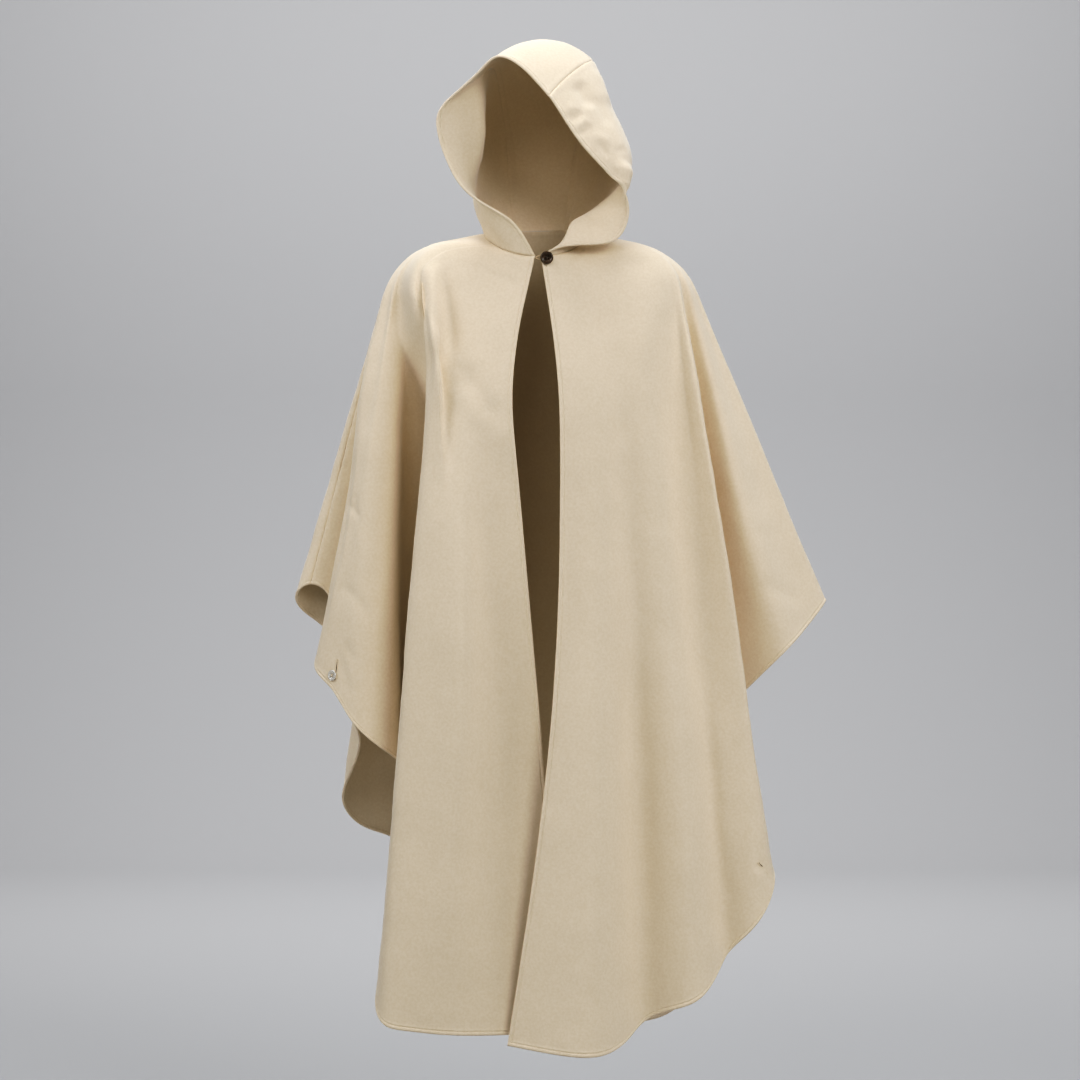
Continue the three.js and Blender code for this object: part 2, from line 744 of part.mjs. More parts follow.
function fromSolid(solid) {
  const mesh = solid.getMesh();
  const geometry = new THREE.BufferGeometry();
  geometry.setAttribute("position", new THREE.BufferAttribute(mesh.vertProperties, 3));
  geometry.setIndex(new THREE.BufferAttribute(mesh.triVerts, 1));
  geometry.computeVertexNormals();
  return geometry;
}

// A dished button on its shank, with four holes. Its axis is +Z, with z = 0 on the cloth's face.
function buttonGeometry({ radius, thickness, stand, shank }) {
  const stem = shank ? [[0, SEAM_GAP], [shank, SEAM_GAP], [shank, stand]] : [[0, stand]];
  const rim = BUTTON_OUTLINE.map(({ out, up }) => [radius * out, stand + thickness * up]);
  const outline = [...stem, ...rim].map(([r, h]) => new THREE.Vector2(r, h));
  const disc = new THREE.LatheGeometry(outline, BUTTON_SIDES);
  disc.rotateX(Math.PI / 2);
  let solid = toSolid(disc);
  for (let i = 0; i < HOLE.count; i++) {
    const angle = ((i + 0.5) * 2 * Math.PI) / HOLE.count;
    const drill = new THREE.CylinderGeometry(HOLE.radius, HOLE.radius, thickness * 2, HOLE.sides);
    drill.rotateX(Math.PI / 2);
    const bottom = stand + thickness * (1 - HOLE.depth);
    drill.translate(HOLE.from * Math.cos(angle), HOLE.from * Math.sin(angle), bottom + thickness);
    solid = solid.subtract(toSolid(drill));
  }
  return fromSolid(solid);
}

// A ring of cord from the right edge round the button's shank, flat on the cloth.
function loopGeometry() {
  const reach = LOOP.inner + LOOP.cord / 2;
  const bulge = LOOP.bulge * reach;
  const flat = (x, y) => new THREE.Vector3(x, y, 0);
  const [top, bottom, tail] = [flat(0, reach), flat(0, -reach), flat(-LOOP.tail, 0)];
  const path = new THREE.CurvePath();
  path.add(new THREE.CubicBezierCurve3(bottom, flat(bulge, -reach), flat(bulge, reach), top));
  path.add(new THREE.CubicBezierCurve3(top, flat(-reach, reach), flat(-LOOP.tail, LOOP.cord), tail));
  path.add(new THREE.CubicBezierCurve3(tail, flat(-LOOP.tail, -LOOP.cord), flat(-reach, -reach), bottom));
  const points = path.getSpacedPoints(LOOP.steps).slice(0, -1);
  const ring = new THREE.CatmullRomCurve3(points, true);
  return closedTube(ring, LOOP.cord / 2, LOOP.steps, LOOP.sides);
}

// A closed tube along a closed flat curve in the XY plane.
function closedTube(curve, radius, steps, sides) {
  const up = new THREE.Vector3(0, 0, 1);
  const positions = [];
  const index = [];
  for (let i = 0; i < steps; i++) {
    const centre = curve.getPoint(i / steps);
    const across = new THREE.Vector3().crossVectors(curve.getTangent(i / steps), up).normalize();
    for (let k = 0; k < sides; k++) {
      const angle = (k * 2 * Math.PI) / sides;
      const point = centre.clone().addScaledVector(across, Math.cos(angle) * radius);
      positions.push(...point.addScaledVector(up, Math.sin(angle) * radius));
    }
  }
  for (let i = 0; i < steps; i++)
    for (let k = 0; k < sides; k++) {
      const [ring, next] = [i * sides, ((i + 1) % steps) * sides];
      const turned = (k + 1) % sides;
      index.push(ring + k, next + turned, ring + turned, ring + k, next + k, next + turned);
    }
  const geometry = new THREE.BufferGeometry();
  geometry.setAttribute("position", new THREE.Float32BufferAttribute(positions, 3));
  geometry.setIndex(index);
  geometry.computeVertexNormals();
  return geometry;
}

// Turns a piece that faces +Z onto the cloth at a point, facing along the normal.
function place(mesh, point, normal) {
  mesh.position.copy(point);
  mesh.quaternion.setFromUnitVectors(new THREE.Vector3(0, 0, 1), normal);
  return mesh;
}

// The outer face of the cloth at a fold line.
function clothFace(line, v) {
  const u = CAPE_KNOTS[line];
  const { normal } = slopes(cape, u, v, CAPE_KNOTS.at(-1));
  return { point: vector(cape(u, v)).addScaledVector(normal, WALL / 2), normal };
}

// ---------------------------------------------------------------- the garment
const felt = new THREE.MeshStandardMaterial({ color: 0xd9c8ab, roughness: 0.95 });
const cord = new THREE.MeshStandardMaterial({ color: 0xcdb993, roughness: 0.8 });
const horn = new THREE.MeshStandardMaterial({ color: 0x2b1a12, roughness: 0.35 });
const clear = new THREE.MeshStandardMaterial({ color: 0xe6e0d2, roughness: 0.2 });

const garment = new THREE.Group();
function add(name, geometry, material) {
  const mesh = new THREE.Mesh(geometry, material);
  mesh.name = name;
  garment.add(mesh);
  return mesh;
}

function addCape() {
  add("front_right", capePanel(0, RIGHT_SEAM_AT, FRONT_CELLS), felt);
  add("back_right", capePanel(RIGHT_SEAM_AT, BACK_PARTS.right, BACK_CELLS), felt);
  add("back_middle", capePanel(BACK_PARTS.right, BACK_PARTS.left, BACK_CELLS), felt);
  add("back_left", capePanel(BACK_PARTS.left, LEFT_SEAM_AT, BACK_CELLS), felt);
  add("front_left", capePanel(LEFT_SEAM_AT, LINES.length - 1, FRONT_CELLS), felt);
}

function addHood() {
  add("hood_side_right", hoodPiece(0, HOOD_SEAMS.right, HOOD_CELLS.side), felt);
  add("hood_center", hoodPiece(HOOD_SEAMS.right, HOOD_SEAMS.left, HOOD_CELLS.band), felt);
  add("hood_side_left", hoodPiece(HOOD_SEAMS.left, HOOD_LAST, HOOD_CELLS.side), felt);
}

const SIDE_BUTTONS = [
  { name: "button_side_right", line: lineOf(-1, "flap_button"), v: 0.972 },
  { name: "button_side_left", line: lineOf(1, "side_out"), v: 0.965 },
];
function addFastenings() {
  const forward = new THREE.Vector3(0, -1, 0);
  const neckFace = -(NECK.throat + WALL / 2 + NECK_BUTTON.lie);
  const at = new THREE.Vector3(NECK_BUTTON.x, neckFace, NECK_BUTTON.z);
  place(add("button_neck", buttonGeometry(NECK_BUTTON), horn), at, forward);
  const cordAt = at.clone().addScaledVector(forward, LOOP.cord / 2 + SEAM_GAP);
  place(add("button_loop", loopGeometry(), cord), cordAt, forward);
  for (const { name, line, v } of SIDE_BUTTONS) {
    const { point, normal } = clothFace(line, v);
    place(add(name, buttonGeometry(SIDE_BUTTON), clear), point, normal);
  }
}

addCape();
addHood();
addFastenings();

export default garment;
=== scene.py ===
"""Looks of the hooded poncho: soft wool panels with turned edges, stitching and creases, the hood,
buttons and cord loop, with a studio floor, lights and a camera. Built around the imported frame.

Lengths in the tables are millimetres in the frame's axes: +Z up, front towards -Y, +X the wearer's
left. Meshes are made in metres."""
import math

import bpy
import numpy as np
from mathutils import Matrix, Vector


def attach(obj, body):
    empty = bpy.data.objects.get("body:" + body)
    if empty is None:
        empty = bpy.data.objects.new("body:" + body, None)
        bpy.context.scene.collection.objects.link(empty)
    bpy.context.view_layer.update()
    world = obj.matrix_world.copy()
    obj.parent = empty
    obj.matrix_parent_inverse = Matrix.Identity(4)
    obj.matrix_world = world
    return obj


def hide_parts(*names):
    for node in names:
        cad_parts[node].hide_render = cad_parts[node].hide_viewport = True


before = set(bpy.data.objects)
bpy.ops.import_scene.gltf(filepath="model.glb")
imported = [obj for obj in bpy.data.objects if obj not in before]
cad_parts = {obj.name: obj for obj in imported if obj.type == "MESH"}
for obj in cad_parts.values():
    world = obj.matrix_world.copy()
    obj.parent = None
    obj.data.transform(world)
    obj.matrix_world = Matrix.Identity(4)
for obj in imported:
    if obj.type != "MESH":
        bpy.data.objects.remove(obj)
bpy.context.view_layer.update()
MM = 0.001
TINY = 1e-9
TURN = 2 * math.pi

# ---------------------------------------------------------------- camera
CAMERA = {"x": 3, "y": -4500, "z": -420, "lens": 100, "sensor": 36}


def make_camera():
    data = bpy.data.cameras.new("camera")
    data.lens = CAMERA["lens"]
    data.sensor_width = CAMERA["sensor"]
    data.clip_end = 30
    camera = bpy.data.objects.new("camera", data)
    camera.location = (CAMERA["x"] * MM, CAMERA["y"] * MM, CAMERA["z"] * MM)
    camera.rotation_euler = (math.radians(90), 0, 0)
    bpy.context.scene.collection.objects.link(camera)
    bpy.context.scene.camera = camera


make_camera()

# ---------------------------------------------------------------- the garment's sizes, as in the solids
WALL = 2.0
NECK = {"half_width": 78, "throat": 97, "nape": 68, "throat_level": -3, "climb": 53, "side_lift": 12}
SHOULDER = {
    "half_width": 211, "squareness": 0.92, "chest": 152, "back": 138, "side_shift": 6, "top_level": 18,
    "chest_level": -172, "back_level": -140, "top_from": 0.45, "top_range": 0.5,
}
YOKE_SHARE = 0.14  # share of a fold line from the neck to the shoulder line
ROUND_SHARE = 0.62  # share of that which belongs to the rounded shoulder
ROUND_DROP = 78  # how far below the shoulder line the round reaches
ROUND_ROWS = 0.45  # how far past the shoulder line it runs, of YOKE_SHARE
KNOT_HEIGHTS = ((0.1, 0.15), (0.3, 0.2), (0.6, 0.3), (1.0, 0.35))  # share of the fall, weight

# Fold lines: name, degrees at the neck seam, degrees at the shoulder line, end on the hem (x, y, z)
# and any places on the fall (share, x, y).
RIGHT_FRONT = [
    ("front_edge", 3, 10, (43, -176, -1128)),
    ("chest", 14, 22, (-54, -194, -1131)),
    ("panel_mid", 26, 34, (-126, -206, -1129), (0.3, -102, -172)),
    ("panel_side", 38, 44, (-188, -206, -1123), (0.3, -128, -165)),
    ("ridge_front", 45, 51, (-221, -197, -1115),
     (0.12, -146, -140), (0.22, -147, -149), (0.4, -166, -160), (0.6, -189, -171)),
    ("main_ridge", 50, 56, (-232, -176, -1098),
     (0.12, -160, -126), (0.22, -160, -134), (0.4, -179, -145), (0.6, -198, -154)),
    ("ridge_back", 55, 60, (-218, -122, -1010), (0.12, -164, -108), (0.22, -158, -98), (0.35, -164, -88)),
    ("valley", 60, 64.5, (-192, -24, -850), (0.12, -172, -96), (0.2, -170, -64), (0.32, -166, -8)),
    ("valley_out", 66, 68, (-208, -36, -768), (0.12, -188, -82), (0.2, -194, -50), (0.4, -202, -6)),
    ("flap_tip", 70, 72, (-209, -92, -742), (0.4, -210, -60)),
    ("flap_mid", 74, 76, (-268, -104, -692), (0.4, -240, -74)),
    ("flap_button", 77, 79, (-304, -78, -640), (0.4, -252, -62)),
    ("flap_crease", 80, 82, (-330, -50, -612), (0.36, -263, -43), (0.53, -276, -50), (0.72, -297, -54)),
    ("crease_back", 82, 84, (-322, -22, -578), (0.4, -262, -20), (0.65, -280, -20)),
    ("crease_valley", 85, 86, (-308, -4, -530), (0.4, -252, -2), (0.65, -272, 2)),
    ("cuff_front", 87.5, 88, (-320, 2, -496)),
]
RIGHT_SEAM = [
    ("overarm_seam", 90, 90, (-342, 8, -487)),
]
RIGHT_BACK = [
    ("cuff_out", 93, 93, (-365, 26, -505)),
    ("cuff_turn", 96, 96, (-354, 50, -530)),
    ("cuff_back", 99, 99, (-326, 54, -552)),
    ("inner", 103, 102, (-298, 14, -600)),
    ("button_line", 107, 105, (-291, -52, -650)),
    ("button_back", 111, 108, (-268, -12, -712)),
    ("corner_in", 116, 113, (-290, 52, -788)),
    ("corner_out", 121, 118, (-297, 82, -822)),
    ("corner_low", 126, 123, (-267, 126, -863)),
    ("side_valley", 132, 129, (-222, 150, -884)),
    ("side_ridge", 138, 136, (-212, 215, -985)),
    ("back_fold", 146, 145, (-166, 232, -1080)),
    ("back_dip", 155, 154, (-116, 208, -1144)),
    ("back_rise", 167, 166, (-62, 244, -1174)),
]
BACK_CENTRE = [
    ("centre", 180, 180, (0, 230, -1182)),
]
LEFT_BACK = [
    ("back_dip", 167, 166, (62, 222, -1188)),
    ("back_ridge", 155, 154, (126, 252, -1188)),
    ("back_fold", 146, 145, (184, 224, -1174)),
    ("back_valley", 138, 136, (230, 198, -1138)),
    ("side_ridge", 130, 127, (280, 214, -1032)),
    ("side_out", 121, 118, (318, 165, -890)),
    ("side_valley", 113, 110, (286, 104, -744)),
    ("flap_back", 106, 104, (326, 78, -626)),
    ("flap_out", 100, 98, (384, 56, -560)),
    ("cuff", 95, 94, (423, 28, -517)),
]
LEFT_SEAM = [
    ("overarm_seam", 90, 90, (431, 2, -513)),
]
LEFT_FRONT = [
    ("cuff_front", 87, 87.5, (410, -18, -540)),
    ("flap_low", 83, 84.5, (366, -56, -586), (0.38, 266, -34), (0.63, 300, -48)),
    ("flap_in", 79, 81, (308, -36, -645), (0.34, 242, -20), (0.57, 264, -20)),
    ("valley", 75, 77.5, (248, -28, -735), (0.3, 222, -20), (0.7, 240, -17)),
    ("ridge_back", 71, 74, (304, -98, -850)),
    ("main_ridge", 66, 70, (342, -150, -918), (0.3, 243, -111), (0.62, 291, -137), (0.85, 320, -147)),
    ("corner", 60, 64, (318, -172, -972)),
    ("hem_valley", 54, 58, (277, -160, -1016)),
    ("fold_side", 48, 52, (259, -176, -1045)),
    ("fold_ridge", 43, 47, (229, -202, -1080)),
    ("fold_in", 37, 42, (190, -192, -1096)),
    ("fold_valley", 32, 37, (154, -180, -1113)),
    ("front_turn", 26, 30, (122, -208, -1142)),
    ("front_ridge", 20, 24, (88, -238, -1154)),
    ("front_mid", 12, 16, (30, -234, -1153)),
    ("front_edge", 3, 7, (-44, -206, -1144), (0.3, 31, -180), (0.65, 6, -198)),
]
HOOD = {
    "face_edge": dict(
        at=0, foot=3,
        right=[(-24, -102, 32), (-56, -104, 61), (-104, -98, 90), (-139, -82, 150)],
        top=[(-150, -76, 194), (-132, -80, 229), (-94, -94, 260), (-62, -112, 286), (15, -132, 226)],
        low=[(60, -130, 160), (111, -112, 107), (133, -96, 68), (110, -94, 19), (38, -104, 10)],
    ),
    "brow": dict(
        at=0.12, foot=28,
        right=[(-50, -87, 22), (-78, -78, 54), (-94, -62, 100), (-88, -54, 152)],
        top=[(-85, -50, 207), (-84, -52, 270), (-58, -60, 297), (-24, -66, 313), (52, -84, 270)],
        low=[(98, -92, 197), (134, -84, 122), (114, -68, 88), (84, -70, 50), (42, -86, 30)],
    ),
    "temple": dict(
        at=0.24, foot=54,
        right=[(-73, -56, 34), (-90, -38, 61), (-94, -22, 105), (-90, -10, 160)],
        top=[(-84, -6, 216), (-68, -9, 286), (-36, -12, 312), (6, -16, 326), (80, -28, 294)],
        low=[(107, -40, 226), (137, -44, 138), (106, -34, 92), (68, -46, 62), (50, -70, 40)],
    ),
    "crown": dict(
        at=0.36, foot=80,
        right=[(-82, -14, 44), (-90, 2, 70), (-98, 18, 112), (-98, 30, 165)],
        top=[(-92, 36, 218), (-62, 40, 280), (-32, 43, 306), (8, 46, 318), (78, 30, 291)],
        low=[(108, 18, 226), (131, 6, 144), (104, 12, 94), (80, -8, 66), (73, -26, 44)],
    ),
    "back": dict(
        at=0.49, foot=102,
        right=[(-81, 15, 53), (-84, 34, 78), (-92, 52, 116), (-93, 72, 164)],
        top=[(-86, 84, 208), (-57, 92, 252), (-28, 96, 273), (7, 98, 282), (71, 84, 260)],
        low=[(104, 65, 214), (118, 44, 150), (104, 34, 99), (88, 22, 70), (81, 15, 52)],
    ),
    "occiput": dict(
        at=0.64, foot=118,
        right=[(-72, 34, 58), (-76, 50, 80), (-80, 72, 110), (-78, 95, 148)],
        top=[(-70, 111, 180), (-50, 120, 206), (-24, 124, 215), (5, 126, 218), (60, 116, 208)],
        low=[(86, 100, 176), (96, 76, 132), (89, 52, 94), (78, 40, 71), (72, 34, 57)],
    ),
    "low": dict(
        at=0.8, foot=127,
        right=[(-64, 43, 58), (-67, 55, 71), (-68, 71, 90), (-65, 88, 112)],
        top=[(-58, 99, 126), (-45, 105, 134), (-22, 108, 137), (3, 109, 138), (51, 103, 136)],
        low=[(68, 92, 124), (75, 75, 100), (73, 59, 79), (68, 50, 66), (65, 43, 57)],
    ),
}

HOOD_SEAM_RIGHT, HOOD_SEAM_LEFT = 6, 9  # columns of the two seams beside the hood's middle band
KNOT_ARCHES = 5
# The hood's last arch lies on the neck seam: degrees of its columns, on past the nape.
NAPE = [-134, -136, -138.5, -141, -144, -147, -150, -165, -180, -210, -213, -216, -219, -221.5, -224, -226]


# ---------------------------------------------------------------- smooth surfaces
def natural_bends(knots, points):
    """Second derivatives at the knots of the natural cubic splines through points[knot, ...]."""
    step = np.diff(knots)
    count = len(knots)
    matrix = np.eye(count)
    right = np.zeros_like(points)
    for i in range(1, count - 1):
        matrix[i, i - 1 : i + 2] = step[i - 1], 2 * (step[i - 1] + step[i]), step[i]
        right[i] = 6 * ((points[i + 1] - points[i]) / step[i] - (points[i] - points[i - 1]) / step[i - 1])
    return np.linalg.solve(matrix, right.reshape(count, -1)).reshape(points.shape)


def cubic(knots, i, at, points, next_points, bends, next_bends):
    step = (knots[i + 1] - knots[i])[..., None]
    past = (at - knots[i])[..., None]
    left = step - past
    curve = (bends * left**3 + next_bends * past**3) / (6 * step)
    line = (points / step - bends * step / 6) * left + (next_points / step - next_bends * step / 6) * past
    return curve + line


def spline(knots, points, at):
    """Points at the places `at` of the natural cubic spline through points[knot, axis]."""
    knots, points, at = (np.asarray(x, float) for x in (knots, points, at))
    bends = natural_bends(knots, points)
    i = np.clip(np.searchsorted(knots, at, side="right") - 1, 0, len(knots) - 2)
    return cubic(knots, i, at, points[i], points[i + 1], bends[i], bends[i + 1])


class Surface:
    """A smooth surface through lines: splines across the lines, read at (u, v). u runs along the
    knots and v from 0 to 1 down the lines."""

    ROWS = 1201
    STEP_U, STEP_V = 0.6, 0.003  # over which slopes are read

    def __init__(self, knots, net):
        self.knots = np.asarray(knots, float)
        self.net = net  # [line, row, axis]
        self.bends = natural_bends(self.knots, net)

    def at(self, u, v):
        i = np.clip(np.searchsorted(self.knots, u, side="right") - 1, 0, len(self.knots) - 2)
        place = np.clip(v, 0, 1) * (self.ROWS - 1)
        row = np.minimum(place.astype(int), self.ROWS - 2)
        share = (place - row)[..., None]
        net, bends = self.net, self.bends
        ends = [
            cubic(self.knots, i, u, net[i, r], net[i + 1, r], bends[i, r], bends[i + 1, r])
            for r in (row, row + 1)
        ]
        return ends[0] * (1 - share) + ends[1] * share

    def slopes(self, u, v):
        u0, u1 = np.maximum(u - self.STEP_U, self.knots[0]), np.minimum(u + self.STEP_U, self.knots[-1])
        v0, v1 = np.maximum(v - self.STEP_V, 0), np.minimum(v + self.STEP_V, 1)
        along = (self.at(u1, v) - self.at(u0, v)) / (u1 - u0)[..., None]
        down = (self.at(u, v1) - self.at(u, v0)) / (v1 - v0)[..., None]
        return along, down

    def normal(self, u, v):
        along, down = self.slopes(u, v)
        return unit(np.cross(along, down))


def unit(vectors):
    return vectors / np.maximum(np.linalg.norm(vectors, axis=-1, keepdims=True), TINY)


def run_of(path):
    """How far along a path each of its points lies."""
    return np.concatenate([[0], np.cumsum(np.linalg.norm(np.diff(path, axis=0), axis=-1))])


def smooth_step(t):
    t = np.clip(t, 0, 1)
    return t * t * (3 - 2 * t)


# ---------------------------------------------------------------- rings of the figure
def neck_point(degrees):
    angle = np.radians(degrees)
    cos, sin = np.cos(angle), np.sin(angle)
    level = NECK["throat_level"] + NECK["climb"] * (1 - cos) / 2 + NECK["side_lift"] * sin * sin
    depth = np.where(cos > 0, NECK["throat"], NECK["nape"])
    return np.stack([NECK["half_width"] * sin, -depth * cos, level], -1)


def shoulder_point(degrees):
    angle = math.radians(degrees)
    cos, sin = math.cos(angle), math.sin(angle)
    depth = SHOULDER["chest"] if cos > 0 else SHOULDER["back"]
    low = SHOULDER["chest_level"] if cos > 0 else SHOULDER["back_level"]
    climb = smooth_step((abs(sin) - SHOULDER["top_from"]) / SHOULDER["top_range"])
    return np.array([
        SHOULDER["half_width"] * math.copysign(abs(sin) ** SHOULDER["squareness"], sin),
        -depth * cos + SHOULDER["side_shift"] * sin * sin,
        low + (SHOULDER["top_level"] - low) * climb,
    ])


# ---------------------------------------------------------------- the cape
def fold_line(v, side, neck, rim, hem, *via):
    """Points of a fold line from the neck (0) over the rounded shoulder to the hem (1)."""
    start, corner = neck_point(side * neck), shoulder_point(side * rim)
    shares = [0, *(place[0] for place in via), 1]
    plan = [corner[:2], *(place[1:] for place in via), hem[:2]]

    def fall(share):
        flat = spline(shares, plan, share)
        return np.concatenate([flat, (corner[2] + share * (hem[2] - corner[2]))[..., None]], -1)

    round_end = ROUND_DROP / np.linalg.norm(np.array(hem) - corner)
    round_start = corner + (start - corner) * ROUND_SHARE
    round_low = fall(np.array([round_end]))[0]
    first, second = YOKE_SHARE * (1 - ROUND_SHARE), YOKE_SHARE * (1 + ROUND_ROWS)
    yoke = start + (round_start - start) * (v / first)[:, None]
    t = np.clip((v - first) / (second - first), 0, 1)[:, None]
    turn = (1 - t) ** 2 * round_start + 2 * t * (1 - t) * corner + t * t * round_low
    drop = fall(round_end + (1 - round_end) * np.clip((v - second) / (1 - second), 0, 1))
    return np.where((v <= first)[:, None], yoke, np.where((v < second)[:, None], turn, drop))


RIGHT, LEFT = -1, 1
FOLDS = [(RIGHT, row) for row in RIGHT_FRONT + RIGHT_SEAM + RIGHT_BACK + BACK_CENTRE]
FOLDS += [(LEFT, row) for row in LEFT_BACK + LEFT_SEAM + LEFT_FRONT]
FOLD_INDEX = {(side, row[0]): i for i, (side, row) in enumerate(FOLDS)}


def cape_surface():
    v = np.linspace(0, 1, Surface.ROWS)
    net = np.stack([fold_line(v, side, *row[1:]) for side, row in FOLDS])
    gaps = sum(
        weight * np.linalg.norm(np.diff(net[:, round(height * (Surface.ROWS - 1))], axis=0), axis=-1)
        for height, weight in KNOT_HEIGHTS
    )
    return Surface(np.concatenate([[0], np.cumsum(gaps)]), net)


def hood_surface():
    """Arches over the head: u runs up the right side and down the left, v from the face to the nape."""
    rows = HOOD.values()
    at = [row["at"] for row in rows] + [1]
    arches = [
        [neck_point(-row["foot"]), *row["right"], *row["top"], *row["low"], neck_point(row["foot"])]
        for row in rows
    ]
    arches = np.array([*arches, neck_point(np.array(NAPE))], float)
    b = np.linspace(0, 1, Surface.ROWS)
    net = np.stack([spline(at, arches[:, column], b) for column in range(arches.shape[1])])
    foot = spline(at, [[row["foot"]] for row in rows] + [[-NAPE[0]]], b)[:, 0]
    net[0], net[-1] = neck_point(-foot), neck_point(foot)
    gaps = np.linalg.norm(np.diff(arches[:KNOT_ARCHES], axis=1), axis=-1).mean(0)
    return Surface(np.concatenate([[0], np.cumsum(gaps)]), net)


cape = cape_surface()
hood = hood_surface()
CAPE_RIGHT_SEAM = FOLD_INDEX[RIGHT, "overarm_seam"]
CAPE_LEFT_SEAM = FOLD_INDEX[LEFT, "overarm_seam"]

# ---------------------------------------------------------------- borders of a piece
# Beside each border the grid has lines at these distances, so that its turned edge, stitching or
# seam keeps its size. thick: half the cloth's thickness there. sink: how far the outer face dips.
EDGE = {
    "at": (0, 0.5, 1.3, 2.6, 4.2, 5.2, 6, 6.8, 7.8, 9, 12),
    "thick": (0.5, 1.25, 1.75, 1.95, 1.8, 1.15, 1.0, 1.4, 1.35, 1.05, 1.0),
    "sink": (0, 0, 0, 0, 0, 0.2, 0.35, 0.1, 0, 0, 0),
}
SEAM = {
    "at": (-0.15, 0.5, 1.2, 2.2, 3.6, 5.5, 8, 9.2, 12),
    "thick": (1.0, 1.05, 1.15, 1.3, 1.4, 1.4, 1.35, 1.05, 1.0),
    "sink": (1.25, 0.85, 0.45, 0.1, -0.1, -0.12, -0.05, 0, 0),
}
STITCH_AT = 6  # which of the edge's lines the stitching follows
EDGE_RIM = 2  # how many of the edge's lines round its rim
SIDES = ("start", "end", "top", "bottom")


def borders_of(kind):
    return EDGE if kind == "edge" else SEAM


def border_line(side, i, trim=0):
    """Index of the grid's i-th line in from one of its sides, short of both ends by trim."""
    along = slice(trim, -trim or None)
    return {"start": (along, i), "end": (along, -1 - i), "top": (i, along), "bottom": (-1 - i, along)}[side]


def stations(low, high, first, last, count):
    """Places from low to high: `first` next to low, `last` next to high and even ones between.
    first and last are [place, line]; the answer is too."""
    begin, end = low + first, high - last[::-1]
    share = np.linspace(0, 1, count + 1)[1:-1, None]
    return np.concatenate([begin, begin[-1] + (end[0] - begin[-1]) * share, end])


class Panel:
    """One piece of cloth: part of a surface with its borders, its grid of points and its relief."""

    PROBE, ROUGH = 60, 9  # lines on which its size and the pace of its borders are measured

    def __init__(self, name, surface, columns, kinds, cell):
        """columns: the surface's lines at which it starts and ends. kinds: edge or seam of its start,
        end, top and bottom."""
        self.name, self.surface = name, surface
        low, high = surface.knots[columns[0]], surface.knots[columns[1]]
        starts, ends, tops, bottoms = (np.array(borders_of(kind)["at"])[:, None] for kind in kinds)
        probe = surface.at(*np.meshgrid(np.linspace(low, high, self.PROBE), np.linspace(0, 1, self.PROBE)))
        width = np.linalg.norm(np.diff(probe, axis=1), axis=-1).sum(1).max()
        length = np.linalg.norm(np.diff(probe, axis=0), axis=-1).sum(0).max()
        across, down = round(width / cell), round(length / cell)

        def speed_across(u, v):
            return np.linalg.norm(surface.slopes(np.full_like(v, u), v)[0], axis=-1)

        def speed_down(u, v):
            return np.linalg.norm(surface.slopes(u, np.full_like(u, v))[1], axis=-1)

        # The two are found in turn: even stations first, then those that fit each line's own length.
        rough_u, rough_v = np.linspace(low, high, self.ROUGH), np.linspace(0, 1, self.ROUGH)
        top, bottom = (speed_down(rough_u, v).mean() for v in (0, 1))
        left, right = (speed_across(u, rough_v).mean() for u in (low, high))
        v = stations(0, 1, tops / top, bottoms / bottom, down)[:, 0]
        u = stations(low, high, starts / left, ends / right, across)[:, 0]
        first, last = starts / speed_across(low, v), ends / speed_across(high, v)
        self.u = stations(low, high, first, last, across).T
        self.v = stations(0, 1, tops / speed_down(u, 0), bottoms / speed_down(u, 1), down)
        self.points = surface.at(self.u, self.v)
        self.normals = surface.normal(self.u, self.v)
        self.relief = np.zeros(self.u.shape)
        self.kinds = dict(zip(SIDES, kinds))
        self.thick, self.sink = self.profile()

    def profile(self):
        """Half thickness and sink of each grid point. A turned edge's rim wins over all else."""
        thick, sink = np.full(self.u.shape, WALL / 2), np.zeros(self.u.shape)
        for side, kind in self.kinds.items():
            border = borders_of(kind)
            for i, (thickness, dip) in enumerate(zip(border["thick"], border["sink"])):
                line = border_line(side, i)
                thick[line] = np.maximum(thick[line], thickness)
                sink[line] = np.maximum(sink[line], dip)
        for side, kind in self.kinds.items():
            for i in range(EDGE_RIM if kind == "edge" else 0):
                line = border_line(side, i)
                thick[line] = np.minimum(thick[line], EDGE["thick"][i])
        return thick, sink

    def faces(self):
        """Outer and inner skin in millimetres, [row, column, axis]."""
        outer = self.points + self.normals * (self.relief + self.thick - self.sink)[..., None]
        inner = self.points + self.normals * (self.relief - self.thick)[..., None]
        return outer, inner


# ---------------------------------------------------------------- meshes
def smooth_object(name, points, faces, material):
    """A smooth mesh from points in metres."""
    mesh = bpy.data.meshes.new(name)
    mesh.from_pydata(np.asarray(points).tolist(), [], [list(face) for face in faces])
    mesh.polygons.foreach_set("use_smooth", [True] * len(mesh.polygons))
    mesh.materials.append(material)
    mesh.update()
    thing = bpy.data.objects.new(name, mesh)
    bpy.context.scene.collection.objects.link(thing)
    return thing


def add_mesh(name, points, faces, material):
    """A piece of the garment from points in millimetres."""
    piece = smooth_object(name, np.asarray(points) * MM, faces, material)
    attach(piece, "root")
    return piece


def ring_quads(index):
    """Quads between the rings of points index[ring, place]."""
    after = np.roll(index, -1, 1)
    return np.stack([index[:-1], after[:-1], after[1:], index[1:]], -1).reshape(-1, 4).tolist()


